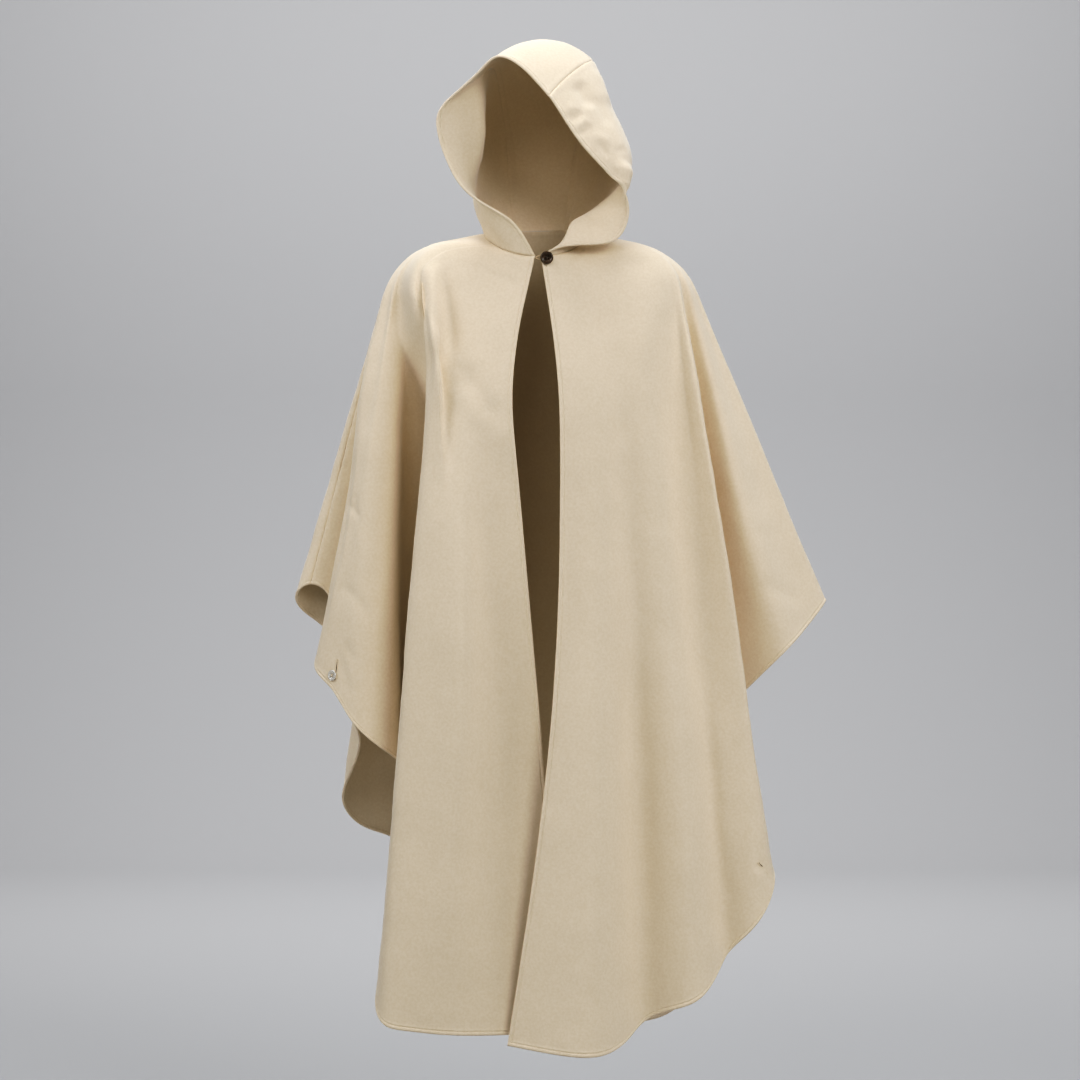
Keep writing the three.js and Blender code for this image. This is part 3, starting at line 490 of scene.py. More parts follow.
def skin_faces(rows, columns):
    """Quads of two skins of rows by columns points each, joined round their border."""
    index = np.arange(rows * columns).reshape(rows, columns)
    a, b, c, d = index[:-1, :-1], index[:-1, 1:], index[1:, 1:], index[1:, :-1]
    other = rows * columns
    outer = np.stack([a, d, c, b], -1).reshape(-1, 4)[:, ::-1]
    inner = np.stack([a, b, c, d], -1).reshape(-1, 4)[:, ::-1] + other
    ring = np.concatenate([index[0, :-1], index[:-1, -1], index[-1, :0:-1], index[:0:-1, 0]])
    after = np.roll(ring, -1)
    side = np.stack([after, ring, ring + other, after + other], -1)
    return np.concatenate([outer, inner, side])


def cloth_mesh(panel, material):
    outer, inner = panel.faces()
    rows, columns = panel.u.shape
    points = np.concatenate([outer.reshape(-1, 3), inner.reshape(-1, 3)])
    return add_mesh(panel.name, points, skin_faces(rows, columns), material)


# ---------------------------------------------------------------- creases and softness
def seen_by_camera(points):
    """Points as the camera sees them, slid along its rays into the plane of the neck (y = 0)."""
    scale = -CAMERA["y"] / (points[..., 1] - CAMERA["y"])
    x = (points[..., 0] - CAMERA["x"]) * scale + CAMERA["x"]
    z = (points[..., 2] - CAMERA["z"]) * scale + CAMERA["z"]
    return np.stack([x, z], -1)


SAMPLE = 8  # between two samples of a crease's path
FINER = 6  # points of a smooth path for each given one
REACH = 9  # how far off a sample a grid point may lie
TURNED_AWAY = 0.05  # the depth of a normal from which the camera no longer sees the face
NEAR_FIRST = 0.2  # how much a place's depth counts beside how far off the sample it is
SMOOTHING = 8  # how often a path found on the grid is evened out
LENGTHWAYS = 500  # what a whole line's length is taken as when a path on lines is resampled
CREASE_REACH = 3.2  # widths past which a crease has faded
CREASE_END = 0.05  # how far its fade has come at its very ends


def resample(path, step):
    path = np.asarray(path, float)
    run = run_of(path)
    places = np.linspace(0, run[-1], max(2, round(run[-1] / step) + 1))
    return np.stack([np.interp(places, run, path[:, axis]) for axis in range(path.shape[1])], -1)


def smooth_path(path):
    """A smooth line through a few points."""
    path = np.asarray(path, float)
    if len(path) < 3:
        return path
    run = run_of(path)
    return spline(run, path, np.linspace(0, run[-1], FINER * len(path)))


def path_from_front(panel, path, inside=False):
    """Where a path (x, z) of the front view lies on the side of the panel that the camera sees."""
    seen = seen_by_camera(panel.points)
    facing = panel.normals[..., 1] * (-1 if inside else 1) < TURNED_AWAY
    found = []
    for place in resample(smooth_path(path), SAMPLE):
        off = np.linalg.norm(seen - place, axis=-1)
        near = facing & (off < REACH)
        if near.any():
            nearest = np.where(near, off + NEAR_FIRST * panel.points[..., 1], np.inf)
            found.append(panel.points[np.unravel_index(nearest.argmin(), off.shape)])
    found = np.array(found)
    for _ in range(SMOOTHING):
        found[1:-1] = (found[:-2] + 2 * found[1:-1] + found[2:]) / 4
    return found


def path_on_lines(surface, path):
    """Where a path of (line, share of its length) lies."""
    lines, v = np.array(path, float).T
    u = np.interp(lines, np.arange(len(surface.knots)), surface.knots)
    u, v = resample(np.stack([u, v * LENGTHWAYS], -1), SAMPLE).T
    return surface.at(u, v / LENGTHWAYS)


def add_crease(panel, path, width, height, taper=0.35):
    """A soft ridge (height above 0) or trough along a path, fading at its ends. width is the
    distance at which it has faded to 0.6."""
    if len(path) < 2:
        return
    start, step = path[:-1], np.diff(path, axis=0)
    run = run_of(path)
    lengths = np.diff(run)
    margin = CREASE_REACH * width
    near = ((panel.points > path.min(0) - margin) & (panel.points < path.max(0) + margin)).all(-1)
    spots = panel.points[near]
    best = np.full(len(spots), np.inf)
    place = np.zeros(len(spots))
    for i in range(len(start)):
        share = np.clip((spots - start[i]) @ step[i] / max(lengths[i] ** 2, TINY), 0, 1)
        off = np.linalg.norm(spots - start[i] - share[:, None] * step[i], axis=-1)
        closer = off < best
        best[closer] = off[closer]
        place[closer] = (run[i] + share * lengths[i])[closer]
    ends = np.minimum(place, run[-1] - place) / (taper * run[-1])
    panel.relief[near] += height * np.exp(-((best / width) ** 2) / 2) * smooth_step(ends + CREASE_END)


WAVES = 36  # how many waves make up the slow unevenness of a cloth


def add_softness(panel, height, longest, shortest, seed):
    """Slow waves all over the cloth, so that no stretch is quite flat."""
    draw = np.random.default_rng(seed)
    lengths = np.exp(draw.uniform(math.log(shortest), math.log(longest), WAVES))
    directions = unit(draw.normal(size=(WAVES, 3)))
    total = sum(
        math.sqrt(length / longest) * np.sin(panel.points @ direction * TURN / length + shift)
        for length, direction, shift in zip(lengths, directions, draw.uniform(0, TURN, WAVES))
    )
    panel.relief += height * total / math.sqrt(WAVES / 2)


# How uneven puckers are: each pair holds the least and the most.
PUCKER = {"slant": (-0.5, 0.5), "length": (0.7, 2.2), "width": (1.8, 3.2), "depth": (0.3, 1)}
PUCKER_STEP, PUCKER_TAPER = 3, 0.8
PUCKER_INWARD = 12  # the grid line that gives their direction


def add_puckers(panel, side, depth, seed, spacing=(9, 22), reach=7):
    """Small dents of uneven length across a sewn border. side: start, end, top or bottom."""
    draw = np.random.default_rng(seed)
    border, inner = (panel.points[border_line(side, i)] for i in (0, PUCKER_INWARD))
    along = unit(np.gradient(border, axis=0))
    run = run_of(border)
    place = draw.uniform(*spacing)
    while place < run[-1]:
        i = min(np.searchsorted(run, place), len(border) - 1)
        towards = unit(inner[i] - border[i]) + along[i] * draw.uniform(*PUCKER["slant"])
        end = border[i] + towards * reach * draw.uniform(*PUCKER["length"])
        width, share = draw.uniform(*PUCKER["width"]), draw.uniform(*PUCKER["depth"])
        add_crease(panel, resample([border[i], end], PUCKER_STEP), width, -depth * share, PUCKER_TAPER)
        place += draw.uniform(*spacing)


# ---------------------------------------------------------------- stitches
STITCH = {"step": 3.6, "length": 2.7, "thread": 0.32, "sides": 4, "lift": 0.05}
# Rings of a stitch: place along it (of its length), thickness and rise (of the thread's).
STITCH_RINGS = [(-0.5, 0.25, -0.5), (-0.36, 0.85, 0.1), (0, 1, 0.3), (0.36, 0.85, 0.1), (0.5, 0.25, -0.5)]


def thread_run(path, normals):
    """Points and quads of a row of short threads that lie along a path on the cloth."""
    run = run_of(path)
    count = int(run[-1] / STITCH["step"])
    scale = STITCH["length"], STITCH["thread"], STITCH["thread"]
    along, size, rise = (np.array(STITCH_RINGS) * scale).T
    places = ((np.arange(count) + 0.5) * run[-1] / count)[:, None] + along

    def read(values):
        return np.stack([np.interp(places, run, values[:, axis]) for axis in range(3)], -1)

    centre, up = read(path), unit(read(normals))
    forward = unit(np.gradient(centre, axis=1))
    aside = unit(np.cross(forward, up))
    centre = centre + up * (rise + STITCH["lift"])[None, :, None]
    sides, rings = STITCH["sides"], len(STITCH_RINGS)
    angle = np.arange(sides) * TURN / sides
    ring = aside[..., None, :] * np.cos(angle)[:, None] + up[..., None, :] * np.sin(angle)[:, None]
    points = centre[..., None, :] + ring * size[:, None, None]
    index = np.arange(rings * sides).reshape(rings, sides)
    quads = np.array([*ring_quads(index), index[0, ::-1], index[-1]])
    offset = np.arange(count)[:, None, None] * rings * sides
    return points.reshape(-1, 3), (quads + offset).reshape(-1, 4)


def add_stitches(panel, material):
    """Topstitching along the panel's turned edges, on both faces."""
    outer, inner = panel.faces()
    runs = []
    for side, kind in panel.kinds.items():
        if kind == "edge":
            line = border_line(side, STITCH_AT, STITCH_AT)
            runs += [(outer[line], panel.normals[line]), (inner[line], -panel.normals[line])]
    points, quads, count = [], [], 0
    for path, normals in runs:
        some, faces = thread_run(path, normals)
        points.append(some)
        quads.append(faces + count)
        count += len(some)
    piece = add_mesh(f"stitches_{panel.name}", np.concatenate(points), np.concatenate(quads), material)
    return piece


# ---------------------------------------------------------------- materials
def new_material(name):
    material = bpy.data.materials.new(name)
    material.use_nodes = True
    tree = material.node_tree
    return material, tree.nodes, tree.links, tree.nodes["Principled BSDF"]


def noise(nodes, links, coordinates, scale, detail, roughness=0.5):
    texture = nodes.new("ShaderNodeTexNoise")
    texture.inputs["Scale"].default_value = scale
    texture.inputs["Detail"].default_value = detail
    texture.inputs["Roughness"].default_value = roughness
    links.new(coordinates.outputs["Object"], texture.inputs["Vector"])
    return texture.outputs["Fac"]


def mottled(nodes, links, height, colours, low=0.35, high=0.65):
    """Two colours, blended where a noise is between low and high."""
    ramp = nodes.new("ShaderNodeValToRGB")
    for element, place, colour in zip(ramp.color_ramp.elements, (low, high), colours):
        element.position = place
        element.color = (*colour, 1)
    links.new(height, ramp.inputs["Fac"])
    return ramp.outputs["Color"]


def bump(nodes, links, height, strength, distance, below=None):
    node = nodes.new("ShaderNodeBump")
    node.inputs["Strength"].default_value = strength
    node.inputs["Distance"].default_value = distance
    links.new(height, node.inputs["Height"])
    if below:
        links.new(below, node.inputs["Normal"])
    return node.outputs["Normal"]


WOOL_LIGHT, WOOL_DEEP = (0.845, 0.725, 0.565), (0.805, 0.68, 0.515)
HORN_LIGHT, HORN_DARK = (0.075, 0.035, 0.02), (0.022, 0.011, 0.007)
# The slit's colour is painted shade: a dark strip laid in each buttonhole stands in for the shadow inside the
# hole.
CLEAR, CORD_TAN, SLIT_PAINTED_SHADE = (0.90, 0.87, 0.80), (0.60, 0.47, 0.31), (0.05, 0.036, 0.024)


def wool_material():
    material, nodes, links, shader = new_material("felted_wool")
    coordinates = nodes.new("ShaderNodeTexCoord")
    tones = noise(nodes, links, coordinates, scale=260, detail=5)
    links.new(mottled(nodes, links, tones, (WOOL_DEEP, WOOL_LIGHT)), shader.inputs["Base Color"])
    nap = noise(nodes, links, coordinates, scale=1100, detail=6, roughness=0.65)
    lumps = noise(nodes, links, coordinates, scale=190, detail=3)
    coarse = bump(nodes, links, lumps, strength=0.22, distance=0.0012)
    fine = bump(nodes, links, nap, strength=0.38, distance=0.0005, below=coarse)
    links.new(fine, shader.inputs["Normal"])
    shader.inputs["Roughness"].default_value = 0.92
    shader.inputs["Specular IOR Level"].default_value = 0.12
    shader.inputs["Sheen Weight"].default_value = 0.5
    shader.inputs["Sheen Roughness"].default_value = 0.55
    shader.inputs["Sheen Tint"].default_value = (1.0, 0.99, 0.97, 1)
    return material


def plain_material(name, colour, roughness, specular=0.5, coat=0.0, transmission=0.0, grain=None):
    """grain: the scale and the other colour of soft streaks."""
    material, nodes, links, shader = new_material(name)
    shader.inputs["Base Color"].default_value = (*colour, 1)
    shader.inputs["Roughness"].default_value = roughness
    shader.inputs["Specular IOR Level"].default_value = specular
    shader.inputs["Coat Weight"].default_value = coat
    shader.inputs["Transmission Weight"].default_value = transmission
    if grain:
        scale, other = grain
        streaks = noise(nodes, links, nodes.new("ShaderNodeTexCoord"), scale, detail=3)
        colours = mottled(nodes, links, streaks, (colour, other), low=0.42, high=0.66)
        links.new(colours, shader.inputs["Base Color"])
    return material


# ---------------------------------------------------------------- buttons and loop
NECK_BUTTON = {"radius": 9.5, "thickness": 4.2, "x": 13, "z": -6.4, "stand": 3.6, "shank": 2.4, "lie": 2.3}
SIDE_BUTTON = {"radius": 8, "thickness": 2.6, "stand": 0.9, "shank": 0}
SIDE_BUTTONS = {  # fold line and share of its length
    "button_side_right": (RIGHT, "flap_button", 0.972),
    "button_side_left": (LEFT, "side_out", 0.965),
}
LOOP = {"cord": 2.2, "inner": 3.2, "tail": 16, "bulge": 1.34, "gap": 0.4, "sides": 18}
LOOP_TWIST, LOOP_STRANDS = 0.42, 3
# A button's outline from the middle of its back round to the middle of its face, of its radius and
# thickness.
BUTTON_OUTLINE = [
    (0.0, 0.0), (0.7, 0.0), (0.86, 0.08), (0.96, 0.24), (1.0, 0.46), (0.985, 0.7), (0.94, 0.88),
    (0.88, 0.98), (0.82, 1.0), (0.76, 0.97), (0.7, 0.88), (0.64, 0.78), (0.56, 0.73), (0.46, 0.71),
    (0.36, 0.7), (0.26, 0.7), (0.16, 0.7), (0.08, 0.7), (0.0, 0.7),
]
BUTTON_SIDES, BUTTON_FINER, BUTTON_STEP = 64, 4, 0.02
BUTTON_PIN = 0.001  # the outline's least radius
HOLES = {"count": 4, "radius": 1.1, "from": 2.5, "depth": 0.55, "soft": 0.5}


def turned(outward):
    """Axes of a small piece that faces outward: right, up, out."""
    out = unit(np.asarray(outward, float))
    right = unit(np.cross([0, 0, 1], out))
    return np.stack([right, np.cross(out, right), out])


def button_mesh(name, size, centre, outward, material):
    count, sides = len(BUTTON_OUTLINE), BUTTON_SIDES
    smooth = spline(np.arange(count), BUTTON_OUTLINE, np.linspace(0, count - 1, count * BUTTON_FINER))
    outline = resample(smooth, BUTTON_STEP)
    angle = np.arange(sides) * TURN / sides
    radius = np.maximum(outline[:, 0], BUTTON_PIN) * size["radius"]
    height = size["stand"] + outline[:, 1] * size["thickness"]
    x, y = radius[:, None] * np.cos(angle), radius[:, None] * np.sin(angle)
    z = np.repeat(height[:, None], sides, 1)
    face = np.arange(len(outline)) > len(outline) // 2
    for hole in (np.arange(HOLES["count"]) + 0.5) * TURN / HOLES["count"]:
        off = np.hypot(x - HOLES["from"] * math.cos(hole), y - HOLES["from"] * math.sin(hole))
        pit = smooth_step((HOLES["radius"] - off) / HOLES["soft"] + 0.5)
        z -= np.where(face[:, None], pit * size["thickness"] * HOLES["depth"], 0)
    points = np.stack([x, y, z], -1).reshape(-1, 3) @ turned(outward) + centre
    index = np.arange(len(outline) * sides).reshape(-1, sides)
    caps = [index[0, ::-1].tolist(), index[-1].tolist()]
    return add_mesh(name, points, [*ring_quads(index), *caps], material)


ANY_WAY = (0.3, 0.9, 0.2)  # a direction along which no tube starts
GROOVE = 0.13  # depth of the grooves between a cord's strands, of its radius


def tube(points, radius, sides=12, closed=True, twist=0.0, strands=0):
    """Points and quads of a tube along a path; strands cuts soft grooves that turn round it."""
    points = np.asarray(points, float)
    ahead, behind = np.roll(points, -1, 0), np.roll(points, 1, 0)
    if not closed:
        ahead[-1], behind[0] = points[-1] * 2 - points[-2], points[0] * 2 - points[1]
    forward = unit(ahead - behind)
    aside = np.empty_like(points)
    aside[0] = unit(np.cross(forward[0], ANY_WAY))
    for i in range(1, len(points)):
        aside[i] = unit(aside[i - 1] - forward[i] * (aside[i - 1] @ forward[i]))
    up = np.cross(forward, aside)
    angle = np.arange(sides) * TURN / sides
    turned_by = np.arange(len(points))[:, None] * twist
    groove = (0.5 - 0.5 * np.cos(strands * (angle + turned_by))) ** 2
    size = radius * (1 - GROOVE * groove)
    ring = aside[:, None] * np.cos(angle)[:, None] + up[:, None] * np.sin(angle)[:, None]
    mesh = points[:, None] + ring * size[..., None]
    index = np.arange(mesh.shape[0] * sides).reshape(-1, sides)
    if closed:
        index = np.concatenate([index, index[:1]])
    faces = ring_quads(index)
    if not closed:
        faces += [index[0, ::-1].tolist(), index[-1].tolist()]
    return mesh.reshape(-1, 3), faces


def bezier(a, b, c, d, count=40):
    t = np.linspace(0, 1, count, endpoint=False)[:, None]
    a, b, c, d = (np.array(p, float) for p in (a, b, c, d))
    return (1 - t) ** 3 * a + 3 * t * (1 - t) ** 2 * b + 3 * t * t * (1 - t) * c + t**3 * d


def loop_mesh(material):
    reach = LOOP["inner"] + LOOP["cord"] / 2
    bulge, tail, cord = LOOP["bulge"] * reach, LOOP["tail"], LOOP["cord"]
    ring = np.concatenate([
        bezier((0, -reach), (bulge, -reach), (bulge, reach), (0, reach)),
        bezier((0, reach), (-reach, reach), (-tail, cord), (-tail, 0)),
        bezier((-tail, 0), (-tail, -cord), (-reach, -reach), (0, -reach)),
    ])
    front = NECK["throat"] + WALL / 2 + NECK_BUTTON["lie"] + cord / 2 + LOOP["gap"]
    x, z = ring.T + [[NECK_BUTTON["x"]], [NECK_BUTTON["z"]]]
    path = np.stack([x, np.full(len(ring), -front), z], -1)
    points, faces = tube(path, cord / 2, LOOP["sides"], twist=LOOP_TWIST, strands=LOOP_STRANDS)
    return add_mesh("button_loop_cord", points, faces, material)


THREAD = {
    "radius": 0.24, "sides": 8, "points": 15, "shifts": (-0.35, 0.0, 0.35), "rise": 0.45, "dive": 1.5,
    "bend": 6,
}
THREAD_SEAT = 0.72  # where the button's face lies, of its thickness


def button_threads(name, size, centre, outward, material):
    """Two crossed runs of thread between the holes."""
    axes = turned(outward)
    t = np.linspace(-1, 1, THREAD["points"])
    top = size["stand"] + size["thickness"] * THREAD_SEAT
    rise = top + THREAD["rise"] - THREAD["dive"] * np.abs(t) ** THREAD["bend"]
    points, faces, count = [], [], 0
    for angle in (TURN / 8, TURN * 3 / 8):
        along = np.array([math.cos(angle), math.sin(angle)])
        aside = np.array([-along[1], along[0]])
        for shift in THREAD["shifts"]:
            flat = t[:, None] * HOLES["from"] * along + shift * aside
            path = np.concatenate([flat, rise[:, None]], -1) @ axes + centre
            some, quads = tube(path, THREAD["radius"], THREAD["sides"], closed=False)
            points.append(some)
            faces += [[i + count for i in face] for face in quads]
            count += len(some)
    return add_mesh(name, np.concatenate(points), faces, material)


# ---------------------------------------------------------------- buttonholes
# A worked slit: ends as the camera sees them in the plane of the neck.
BUTTONHOLES = {
    "buttonhole_right": ("cape_front_right", [(-300.5, -600), (-303.5, -628)]),
    "buttonhole_left": ("cape_front_left", [(331, -904), (345, -918)]),
}
BUTTONHOLE = {
    "half_width": 1.5, "thread": 0.55, "bead": 0.18, "stitch": 1.1, "step": 0.25, "sides": 8, "slit": 0.45,
    "slit_end": 0.1, "slit_points": 9, "end_points": 13, "lift": 0.35,
}
FIND_STEP_U, FIND_STEP_V, FIND_ROUNDS = 0.5, 0.002, 6


def place_from_front(panel, goal):
    """(u, v) and relief at which a place of the front view lies on the panel."""
    seen = seen_by_camera(panel.points)
    off = np.where(panel.normals[..., 1] < 0, np.linalg.norm(seen - goal, axis=-1), np.inf)
    nearest = np.unravel_index(off.argmin(), off.shape)
    u, v = panel.u[nearest], panel.v[nearest]
    for _ in range(FIND_ROUNDS):
        here = seen_by_camera(panel.surface.at(u, v))
        along = (seen_by_camera(panel.surface.at(u + FIND_STEP_U, v)) - here) / FIND_STEP_U
        down = (seen_by_camera(panel.surface.at(u, v + FIND_STEP_V)) - here) / FIND_STEP_V
        step = np.linalg.solve(np.stack([along, down], -1), goal - here)
        u, v = u + step[0], v + step[1]
    return u, v, panel.relief[nearest]


def buttonhole_meshes(name, panel, ends, thread_material, painted_shade_material):
    """A ring of thread round a slit, and in it a dark strip of painted shade that stands in for the shadow
    inside the slit.
    """
    surface, size = panel.surface, BUTTONHOLE
    places = [place_from_front(panel, np.array(end)) for end in ends]
    skin = WALL / 2 + size["lift"]
    a, b = (surface.at(u, v) + surface.normal(u, v) * (relief + skin) for u, v, relief in places)
    middle = surface.normal(*np.mean(places, axis=0)[:2])
    along = unit(b - a)
    aside = unit(np.cross(middle, along))
    turn = np.linspace(-TURN / 4, TURN / 4, size["end_points"])[:, None]
    half = size["half_width"]
    far = b + half * (np.sin(turn) * aside + np.cos(turn) * along)
    near = a - half * (np.sin(turn) * aside + np.cos(turn) * along)
    ring = resample([*far, *near, far[0]], size["step"])[:-1]
    stitch = np.cos(np.arange(len(ring)) * size["step"] * TURN / size["stitch"])
    radius = size["thread"] * (1 + size["bead"] * stitch)
    points, faces = tube(ring, radius[:, None], size["sides"])
    add_mesh(name, points, faces, thread_material)
    # The strip along the slit is painted shade: a dark sheet where the hole's inside is only shadow.
    count = size["slit_points"]
    share = np.linspace(0, 1, count)[:, None]
    bow = size["slit"] * np.sin(math.pi * share) + size["slit_end"]
    line = a + (b - a) * share
    slit = np.concatenate([line - aside * bow, line + aside * bow])
    quads = [(i, i + 1, i + 1 + count, i + count) for i in range(count - 1)]
    add_mesh(f"{name}_slit", slit, quads, painted_shade_material)


# ---------------------------------------------------------------- the pieces
wool = wool_material()
horn = plain_material("dark_horn", HORN_DARK, 0.28, coat=0.4, grain=(130, HORN_LIGHT))
clear = plain_material("clear_button", CLEAR, 0.14, coat=0.7, transmission=0.3)
slit_painted_shade = plain_material("slit_painted_shade", SLIT_PAINTED_SHADE, 0.9, specular=0.1)
cord = plain_material("cord", CORD_TAN, 0.8, specular=0.2)

CAPE_COLUMNS = (0, CAPE_RIGHT_SEAM, CAPE_LEFT_SEAM, len(FOLDS) - 1)
HOOD_COLUMNS = (0, HOOD_SEAM_RIGHT, HOOD_SEAM_LEFT, len(NAPE) - 1)
CAPE_PANELS = [  # name, kinds of its borders, cell of its grid
    ("cape_front_right", ("edge", "seam", "seam", "edge"), 6.0),
    ("cape_back", ("seam", "seam", "seam", "edge"), 8.6),
    ("cape_front_left", ("seam", "edge", "seam", "edge"), 6.0),
]
HOOD_PANELS = [
    (name, ("seam", "seam", "edge", "seam"), 3.6)
    for name in ("hood_side_right_cloth", "hood_center_cloth", "hood_side_left_cloth")
]


def panels(surface, columns, rows):
    spans = zip(columns, columns[1:])
    return [Panel(name, surface, span, kinds, cell) for (name, kinds, cell), span in zip(rows, spans)]


front_right, back, front_left = panels(cape, CAPE_COLUMNS, CAPE_PANELS)
hood_right, hood_middle, hood_left = panels(hood, HOOD_COLUMNS, HOOD_PANELS)

# Creases that show from the front: path (x, z) as the camera sees it in the plane of the neck,
# width, height (below 0 for a trough).
CREASES_RIGHT = [
    ([(-181, 0), (-179, -30), (-172, -70), (-166, -120), (-165, -165), (-166, -220)], 9, -7),
    ([(-158, 4), (-158, -40), (-156, -85), (-153, -130), (-150, -152)], 12, 6, 0.25),
    ([(-146, 4), (-140, -28), (-135, -60), (-131, -95), (-129, -125), (-134, -146), (-144, -156)], 9, -9),
    ([(-146, -168), (-146, -220), (-150, -300), (-157, -400)], 13, -5),
    ([(-112, -170), (-86, -208), (-50, -262), (-36, -330)], 15, 4.0),
    ([(-122, -146), (-98, -190), (-66, -232), (-46, -256)], 12, -5),
    ([(-100, -8), (-52, -28), (-15, -40)], 5, -1.6),
    ([(-80, 0), (-40, -12), (-12, -22)], 4, -1.2),
    ([(-36, 12), (-20, 10), (-8, 2)], 3, -1.2),
    ([(-268, -240), (-278, -310), (-287, -370), (-299, -445), (-307, -480), (-316, -515), (-323, -570),
      (-332, -606)], 4, -2.8),
    ([(-290, -360), (-277, -372), (-264, -390)], 4, -1.8),
    ([(-273, -350), (-276, -375)], 3.5, -1.4),
    ([(-304, -487), (-275, -500), (-262, -518), (-252, -550)], 6, -1.6),
    ([(-290, -568), (-282, -590), (-275, -610)], 6, -1.5),
    ([(-298, -585), (-290, -622), (-280, -664)], 7, -1.6),
    ([(-80, -420), (-85, -600), (-95, -800)], 26, 2.0),
    ([(-150, -500), (-160, -700), (-175, -900), (-182, -1050)], 22, -2.0),
    ([(-20, -600), (-28, -760), (-32, -900)], 20, -1.6),
    ([(-110, -900), (-116, -1010), (-118, -1120)], 18, 1.6),
]
CREASES_LEFT = [
    ([(196, -20), (208, -120), (229, -270), (243, -390), (262, -510)], 15, 3),
    ([(123, -30), (125, -300), (130, -570)], 12, -2.4),
    ([(160, -30), (160, -300), (166, -570)], 12, 2.0),
    ([(60, -20), (80, -70), (118, -120)], 16, -1.8),
    ([(40, -250), (46, -420), (44, -600)], 18, -1.6),
    ([(90, -560), (96, -760), (92, -960), (84, -1110)], 22, 2.2),
    ([(128, -520), (140, -700), (150, -880), (152, -1050)], 20, -5),
    ([(214, -560), (226, -740), (234, -900), (230, -1040)], 18, 4.5),
    ([(262, -620), (276, -760), (284, -900), (290, -960)], 13, 4),
    ([(330, -480), (372, -505), (404, -512)], 8, -1.4),
    ([(326, -902), (336, -906), (346, -920), (350, -938)], 3.5, -2.4),
    ([(322, -912), (332, -920), (338, -936)], 4, 1.4),
]
# Creases elsewhere: path (fold line, share of its length), width, height.
CREASES_BACK = [
    ([(line, 0.2), (line + 0.3, 0.5), (line + 0.1, 0.85)], width, height)
    for line, width, height in (
        (20.5, 7, -2.2), (22.4, 9, 1.8), (24.5, 8, -2.2), (27.4, 14, -2.6), (29.2, 16, 2.2), (30.6, 18, -2.2),
        (32.5, 18, 2.0), (34.2, 15, -2.4), (36.3, 13, 2.2), (38.4, 9, -2.4), (40.3, 7, -1.8),
    )
]
HOOD_CREASES_OUT = [
    ([(54, 270), (70, 250), (82, 226)], 12, -5),
    ([(40, 232), (52, 224), (66, 222)], 6, 1.8),
    ([(44, 206), (58, 216), (68, 226)], 6, -2.4),
    ([(52, 196), (66, 204), (78, 214)], 5, 1.6),
    ([(60, 186), (70, 192), (80, 204)], 5, -2.2),
    ([(78, 186), (95, 184), (112, 174)], 7, 2.0),
    ([(88, 180), (98, 168), (106, 152)], 4, -1.8),
    ([(112, 160), (122, 165), (133, 166)], 4, -1.4),
    ([(88, 248), (98, 216), (110, 196)], 10, -2.4),
    ([(84, 134), (104, 128), (122, 118)], 6, -1.6),
    ([(86, 288), (98, 262), (109, 230)], 13, 4),
    ([(132, 150), (131, 122), (128, 96)], 12, 9),
]
HOOD_CREASES_IN = [
    ([(-86, 275), (-84, 200), (-80, 120)], 8, -2.5),
    ([(-104, 200), (-98, 140), (-82, 80)], 9, 1.8),
    ([(-112, 140), (-96, 96), (-70, 62)], 7, -1.4),
]
# The turned-out flap of the hood, whose inner face shows: the line at which it rolls over.
FLAP_CREASES = [
    ([(54, 76), (74, 90), (93, 98), (116, 105)], 5, 2.6),
    ([(70, 40), (96, 52), (118, 66)], 8, -1.6),
]
SEEN_CREASES = [
    (front_right, CREASES_RIGHT, False),
    (front_left, CREASES_LEFT, False),
    (hood_left, HOOD_CREASES_OUT, False),
    (hood_right, HOOD_CREASES_IN, True),
    (hood_left, FLAP_CREASES, True),
]
for panel, creases, inside in SEEN_CREASES:
    for path, *size in creases:
        add_crease(panel, path_from_front(panel, path, inside), *size)
for path, *size in CREASES_BACK:
    add_crease(back, path_on_lines(cape, path), *size)

for seed, panel in enumerate((front_right, front_left, back)):
    add_softness(panel, height=0.55, longest=260, shortest=60, seed=10 + seed)
    add_softness(panel, height=0.16, longest=50, shortest=22, seed=20 + seed)
for seed, panel in enumerate((hood_right, hood_middle, hood_left)):
    add_softness(panel, height=0.5, longest=120, shortest=35, seed=30 + seed)
PUCKERED = [  # panel, border, depth, seed
    (front_right, "end", 1.1, 41), (back, "start", 1.0, 42), (front_left, "start", 0.9, 43),
    (back, "end", 0.9, 44), (hood_right, "end", 0.7, 45), (hood_middle, "start", 0.7, 46),
    (hood_middle, "end", 0.9, 47), (hood_left, "start", 1.0, 48), (front_right, "top", 0.6, 50),
    (back, "top", 0.6, 51), (front_left, "top", 0.6, 52),
]
for row in PUCKERED:
    add_puckers(*row)
add_puckers(hood_left, "top", 1.5, 49, spacing=(9, 17), reach=10)

CLOTH = [  # panel, its solids, flat size and area in metres
    (front_right, ["front_right"], (0.62, 1.18), 0.57),
    (back, ["back_right", "back_middle", "back_left"], (1.30, 1.22), 0.93),
    (front_left, ["front_left"], (0.62, 1.18), 0.53),
    (hood_right, ["hood_side_right"], (0.27, 0.34), 0.06),
    (hood_middle, ["hood_center"], (0.16, 0.52), 0.067),
    (hood_left, ["hood_side_left"], (0.30, 0.36), 0.078),
]
for panel, nodes, flat, area in CLOTH:
    piece = cloth_mesh(panel, wool)
    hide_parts(*nodes)
    stitches = add_stitches(panel, wool)

for name, (panel_name, ends) in BUTTONHOLES.items():
    panel = {piece.name: piece for piece in (front_right, front_left)}[panel_name]
    buttonhole_meshes(name, panel, ends, wool, slit_painted_shade)

